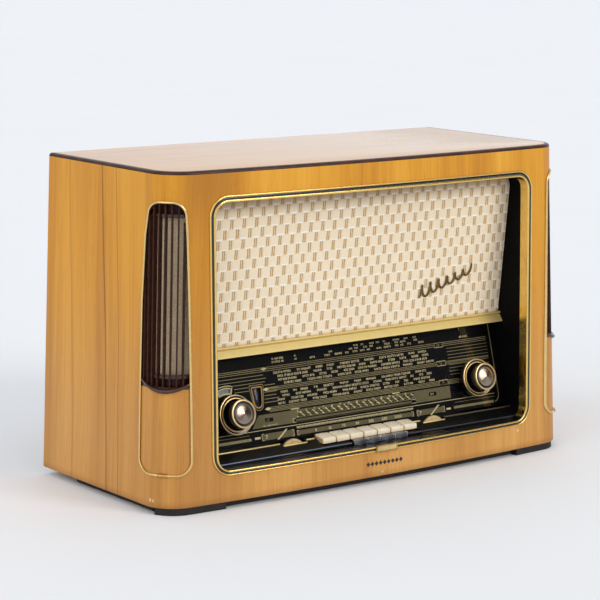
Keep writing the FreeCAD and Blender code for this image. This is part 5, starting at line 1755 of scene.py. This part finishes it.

# number rows for two of the three scales, four rows each, and a boxed number and a diamond for all three
for top in (83.3, 58.9):
    for r in range(4):
        x0 = -119.0 + (r * 3.4 if top > 80 else (9.0 - abs(r - 0.5) * 5.0))
        x = x0 + (0.0, 2.0, -1.0, 4.0)[r]
        while x < 126.0:
            n = rng.choice((3, 4, 5, 5, 6, 7))
            x = p1.text("".join(rng.choice("0123456789") for _ in range(n)), x, top - r * 4.55, 2.7, INK)
            x += rng.choice((1.0, 1.2, 5.5, 7.5, 9.0))
for x, s in ((147.8, 89.9), (147.4, 65.9), (146.6, 41.2)):
    p1.line([(x - 7.2, s - 2.9), (x + 7.2, s - 2.9), (x + 7.2, s + 2.9), (x - 7.2, s + 2.9)], 0.6, INK, closed=True)
    p1.rect(x - 6.7, x + 6.7, s - 2.4, s + 2.4, BLACK)
for (x, s), body in zip(((147.8, 89.9), (147.4, 65.9), (146.6, 41.2)), ("16", "75", "90")):
    p1.text(body, x - 3.1, s - 1.35, 2.7, INK)
for x, s in ((-132.5, 91.0), (-133.5, 66.0), (-134.5, 42.0)):
    p1.poly([(x - 5.0, s), (x, s + 2.0), (x + 5.0, s), (x, s - 2.0)], INK)

# band strip with its staggered channel blocks
STRIP_POLY = [(-162.0, 20.2), (155.2, 20.2), (155.2, 35.8), (-150.0, 35.8), (-155.0, 30.0)]
p_strip = Print(-3.118, -3.105)
p_strip.poly(STRIP_POLY, 0)
p_strip.done("dial_band_strip", [M["ink_strip"]])
x = -92.0
k = 0
while x < 92.0:
    for j in range(4):
        s = 26.6 + j * 1.75 + (k % 2) * 0.5
        w = 1.5 + ((k * 7 + j * 3) % 5) * 0.28
        p1.rect(x + j * 1.5 - w / 2 + rng.uniform(-0.3, 0.3), x + j * 1.5 + w / 2, s, s + 1.2, BLACK if (k + j) % 3 else INK)
    if k % 4 == 0:
        p1.text(str(2 + (k // 4) * 3), x, 33.6, 2.2, INK)
        p1.rect(x + 0.6, x + 1.1, 31.6, 33.2, INK)
    x += 3.3
    k += 1
for x0, x1, s0, s1 in ((-98.0, 97.0, 24.1, 25.4), (-98.0, 97.0, 20.6, 21.6), (-98.0, -95.6, 21.6, 24.1), (88.6, 97.0, 21.6, 24.1)):
    p1.rect(x0, x1, s0, s1, BLACK)
for x0, x1 in ((-100.0, -95.4), (88.4, 96.6)):
    p1.line([(x0 + (x1 - x0 if x0 < 0 else 0.0), 25.2), (x0 if x0 < 0 else x1, 25.2), (x0 if x0 < 0 else x1, 20.8), (x0 + (x1 - x0 if x0 < 0 else 0.0), 20.8)], 0.6, INK)
for x, body in ((-136.0, "88"), (125.0, "100")):
    p1.rect(x - 5.6, x + 6.6, 26.2, 31.0, BLACK)
    p1.text(body, x - 3.8, 27.2, 2.9, INK)
p1.numbers(-146.0, -118.0, 21.3, 1.5, rng, 0.9)
p1.rect(-100.5, -88.0, 36.6, 37.6, INK)
p1.rect(60.0, 72.0, 36.6, 37.6, INK)

# tick strip, label strip, tone scales
x = -96.0
while x < 88.6:
    p1.rect(x, x + 1.15, 13.2, 15.4, INK)
    x += 2.05
p1.rect(-96.0, 88.7, 12.4, 12.9, DIM)


def label_box(x0, x1, s0, s1):
    p1.rect(x0, x1, s0, s1, STRIP)
    for xa, xb in ((x0, x0 + 3.0), (x1 - 3.0, x1)):
        inner_x = xb if xa == x0 else xa
        edge_x = xa if xa == x0 else xb
        pr.line([(inner_x, s0), (edge_x, s0), (edge_x, s1), (inner_x, s1)], 0.6, INK)


pr = Print(-3.035, -2.99 - 0.03)
label_box(-96.5, 89.2, 4.6, 10.2)
label_box(-149.8, -101.4, 4.4, 12.4)
label_box(95.2, 141.4, 3.6, 10.8)
for i, body in enumerate(("0", "16", "75", "90", "300", "600", "2000")):
    pr.text(body, -75.6 + 21.6 * i + 7.6 - 2.0 * len(body) * 0.5, 5.6, 3.5, INK)
for x, s0 in ((-128.0, 3.2), (116.0, 2.6)):
    pr.poly([(x, s0), (x + 3.2, s0), (x + 17.5, s0 + 11.0), (x + 14.4, s0 + 11.0)], INK)
    for q in range(6):
        pr.rect(x + 3.0 + q * 2.1, x + 3.6 + q * 2.1, s0 + 1.6 + q * 1.6, s0 + 2.9 + q * 1.6, BLACK)
pr.text("7", -144.5, 6.0, 4.6, INK)
pr.text("7", 99.5, 5.0, 4.2, INK)
for x0, x1, s0, s1 in ((-160.5, -152.3, 7.2, 9.8), (144.4, 151.6, 5.4, 7.8)):
    p1.rect(x0, x1, s0, s1, INK)
mats5 = [M["ink"], M["ink_dim"], M["ink_strip"], M["ink_orange"], M["ink_black"]]
p1.done("dial_print", mats5)
pr.done("dial_labels", mats5)

# a small plain ornament let into the wood under the opening: a row of nine lozenges
b = Build()
for i in range(9):
    x0 = -23.5 + i * 6.5
    hw_, hh = 3.0, 3.0
    pts = [(x0 - hw_, 16.9), (x0, 16.9 - hh), (x0 + hw_, 16.9), (x0, 16.9 + hh)]
    lo = b.row([(x, front_y(x, z, -0.02), z) for x, z in pts])
    hi = b.row([(x, front_y(x, z, -0.22), z) for x, z in pts])
    b.face(hi)
    b.face(lo[::-1])
    b.bridge(lo, hi)
b.done("front_lozenges", [M["knob_black"]], slot="trim_black", angle=30)

# ------------------------------------------------------------------ materials on the CAD nodes that stay
KEEP = {
    "bottom_board": "board_raw", "feet": "foot", "side_tweeters": "bakelite_black", "recess_mask": "mask_black", "key_bezel": "shelf_black",
    "baffle_board": "board_raw", "dial_glass": "dial_glass", "dial_backplate": "aluminium", "dial_lamps": "bulb_glass", "magic_eye": "valve_glass",
    "speaker_frames": "steel_zinc", "speaker_cones": "paper_cone", "chassis": "steel_zinc", "transformers": "iron", "valves": "valve_glass",
    "shield_cans": "aluminium", "tuning_capacitor": "steel_zinc", "ferrite_post": "bakelite", "key_housing": "steel_zinc", "control_pots": "steel",
    "socket_panel": "bakelite", "voltage_selector": "bakelite_black", "back_cover": "hardboard", "back_battens": "board_raw", "back_screws": "steel",
    "cord_grommet": "rubber", "am_pointer": "pointer", "fm_pointer": "pointer", "capacitor_rotor": "aluminium", "ferrite_rod": "ferrite",
}
for name, ob in NODES.items():
    if ob.hide_render:
        continue
    mt = M[KEEP.get(name, "steel_zinc")]
    if name not in KEEP:
        print("no finish chosen for", name)
    ob.data.materials.clear()
    ob.data.materials.append(mt)

# ------------------------------------------------------------------ floor, light, camera
def stage_floor():
    me = bpy.data.meshes.new("floor")
    me.from_pydata([(-60, -60, 0), (60, -60, 0), (60, 60, 0), (-60, 60, 0)], [], [(0, 1, 2, 3)])
    m = Mat("floor_paper")
    c = m.position()
    n = m.noise(c, 2.2, 2.0, 0.5)
    m.set(color=m.mix(n, FLOOR_A, FLOOR_B), rough=0.85, spec=0.12, normal=m.bump(m.noise(c, 900.0, 2.0), 0.02, 0.0002))
    me.materials.append(m.m)
    ob = bpy.data.objects.new("floor", me)
    scene.collection.objects.link(ob)


FLOOR_A, FLOOR_B = (0.862, 0.884, 0.922), (0.882, 0.904, 0.942)
stage_floor()

world = bpy.data.worlds.new("studio")
scene.world = world
world.use_nodes = True
wt = world.node_tree
wt.nodes.clear()


class World(Mat):
    def __init__(self, tree):
        self.tree = tree


wm = World(wt)
direction = wm.coords("Generated")
dx, dy, dz = wm.sep(direction)
WORLD_BASE, WORLD_DARK, WORLD_BACK = 0.70, 0.03, 1.0


def toward(v, a, b):
    """1 where the direction is close to v, falling to 0 away from it."""
    n = Vector(v).normalized()
    return (dx * n.x + dy * n.y + dz * n.z).step(a, b)


strength = toward((0.59, 0.77, 0.17), 0.70, 0.95) * (WORLD_BACK - WORLD_BASE) + WORLD_BASE
strength = strength * (toward((0.59, -0.757, 0.20), 0.78, 0.95) * (WORLD_DARK / WORLD_BASE - 1.0) + 1.0)
bg = wt.nodes.new("ShaderNodeBackground")
wm.put(bg.inputs[0], (0.975, 0.985, 1.0, 1.0))
wm.put(bg.inputs[1], strength)
wo = wt.nodes.new("ShaderNodeOutputWorld")
wt.links.new(bg.outputs[0], wo.inputs[0])


def soft_sun(name, frm, strength, angle, color=(1, 1, 1)):
    """A very broad, even light, as from a large white umbrella."""
    li = bpy.data.lights.new(name, "SUN")
    li.energy, li.angle, li.color = strength, math.radians(angle), color
    ob = bpy.data.objects.new(name, li)
    ob.rotation_mode = "QUATERNION"
    ob.rotation_quaternion = (-Vector(frm)).to_track_quat("-Z", "Y")
    scene.collection.objects.link(ob)
    return ob


soft_sun("key", (0.42, -0.90, 0.44), 1.15, 26.0, (1.0, 0.99, 0.975))
soft_sun("top", (0.6, -0.7, 2.2), 0.18, 60.0, (1.0, 0.99, 0.98))
soft_sun("fill_left", (-2.0, -0.4, 1.3), 0.72, 60.0, (1.0, 0.99, 0.98))

cam_data = bpy.data.cameras.new("camera")
cam_data.sensor_width = 36.0
cam_data.lens = 2286.6872 / 600.0 * 36.0
cam_data.clip_start, cam_data.clip_end = 0.05, 200.0
cam = bpy.data.objects.new("camera", cam_data)
scene.collection.objects.link(cam)
az, el, roll = -0.6458334264750453, 0.1710778435598114, 0.0070758685394095855
fw = Vector((-math.sin(az) * math.cos(el), math.cos(az) * math.cos(el), -math.sin(el)))
right = fw.cross(Vector((0, 0, 1))).normalized()
up_v = right.cross(fw)
r2 = right * math.cos(roll) + up_v * math.sin(roll)
u2 = right * -math.sin(roll) + up_v * math.cos(roll)
m4 = Matrix.Identity(4)
for i, c in enumerate((r2, u2, -fw)):
    for r in range(3):
        m4[r][i] = c[r]
for r, v in enumerate(W((-1747.2933, -2427.3138, 698.0808))):
    m4[r][3] = v
cam.matrix_world = m4
scene.camera = cam
scene.view_settings.view_transform = "Standard"
scene.view_settings.look = "None"
scene.view_settings.exposure = 0.0
scene.view_settings.gamma = 1.0
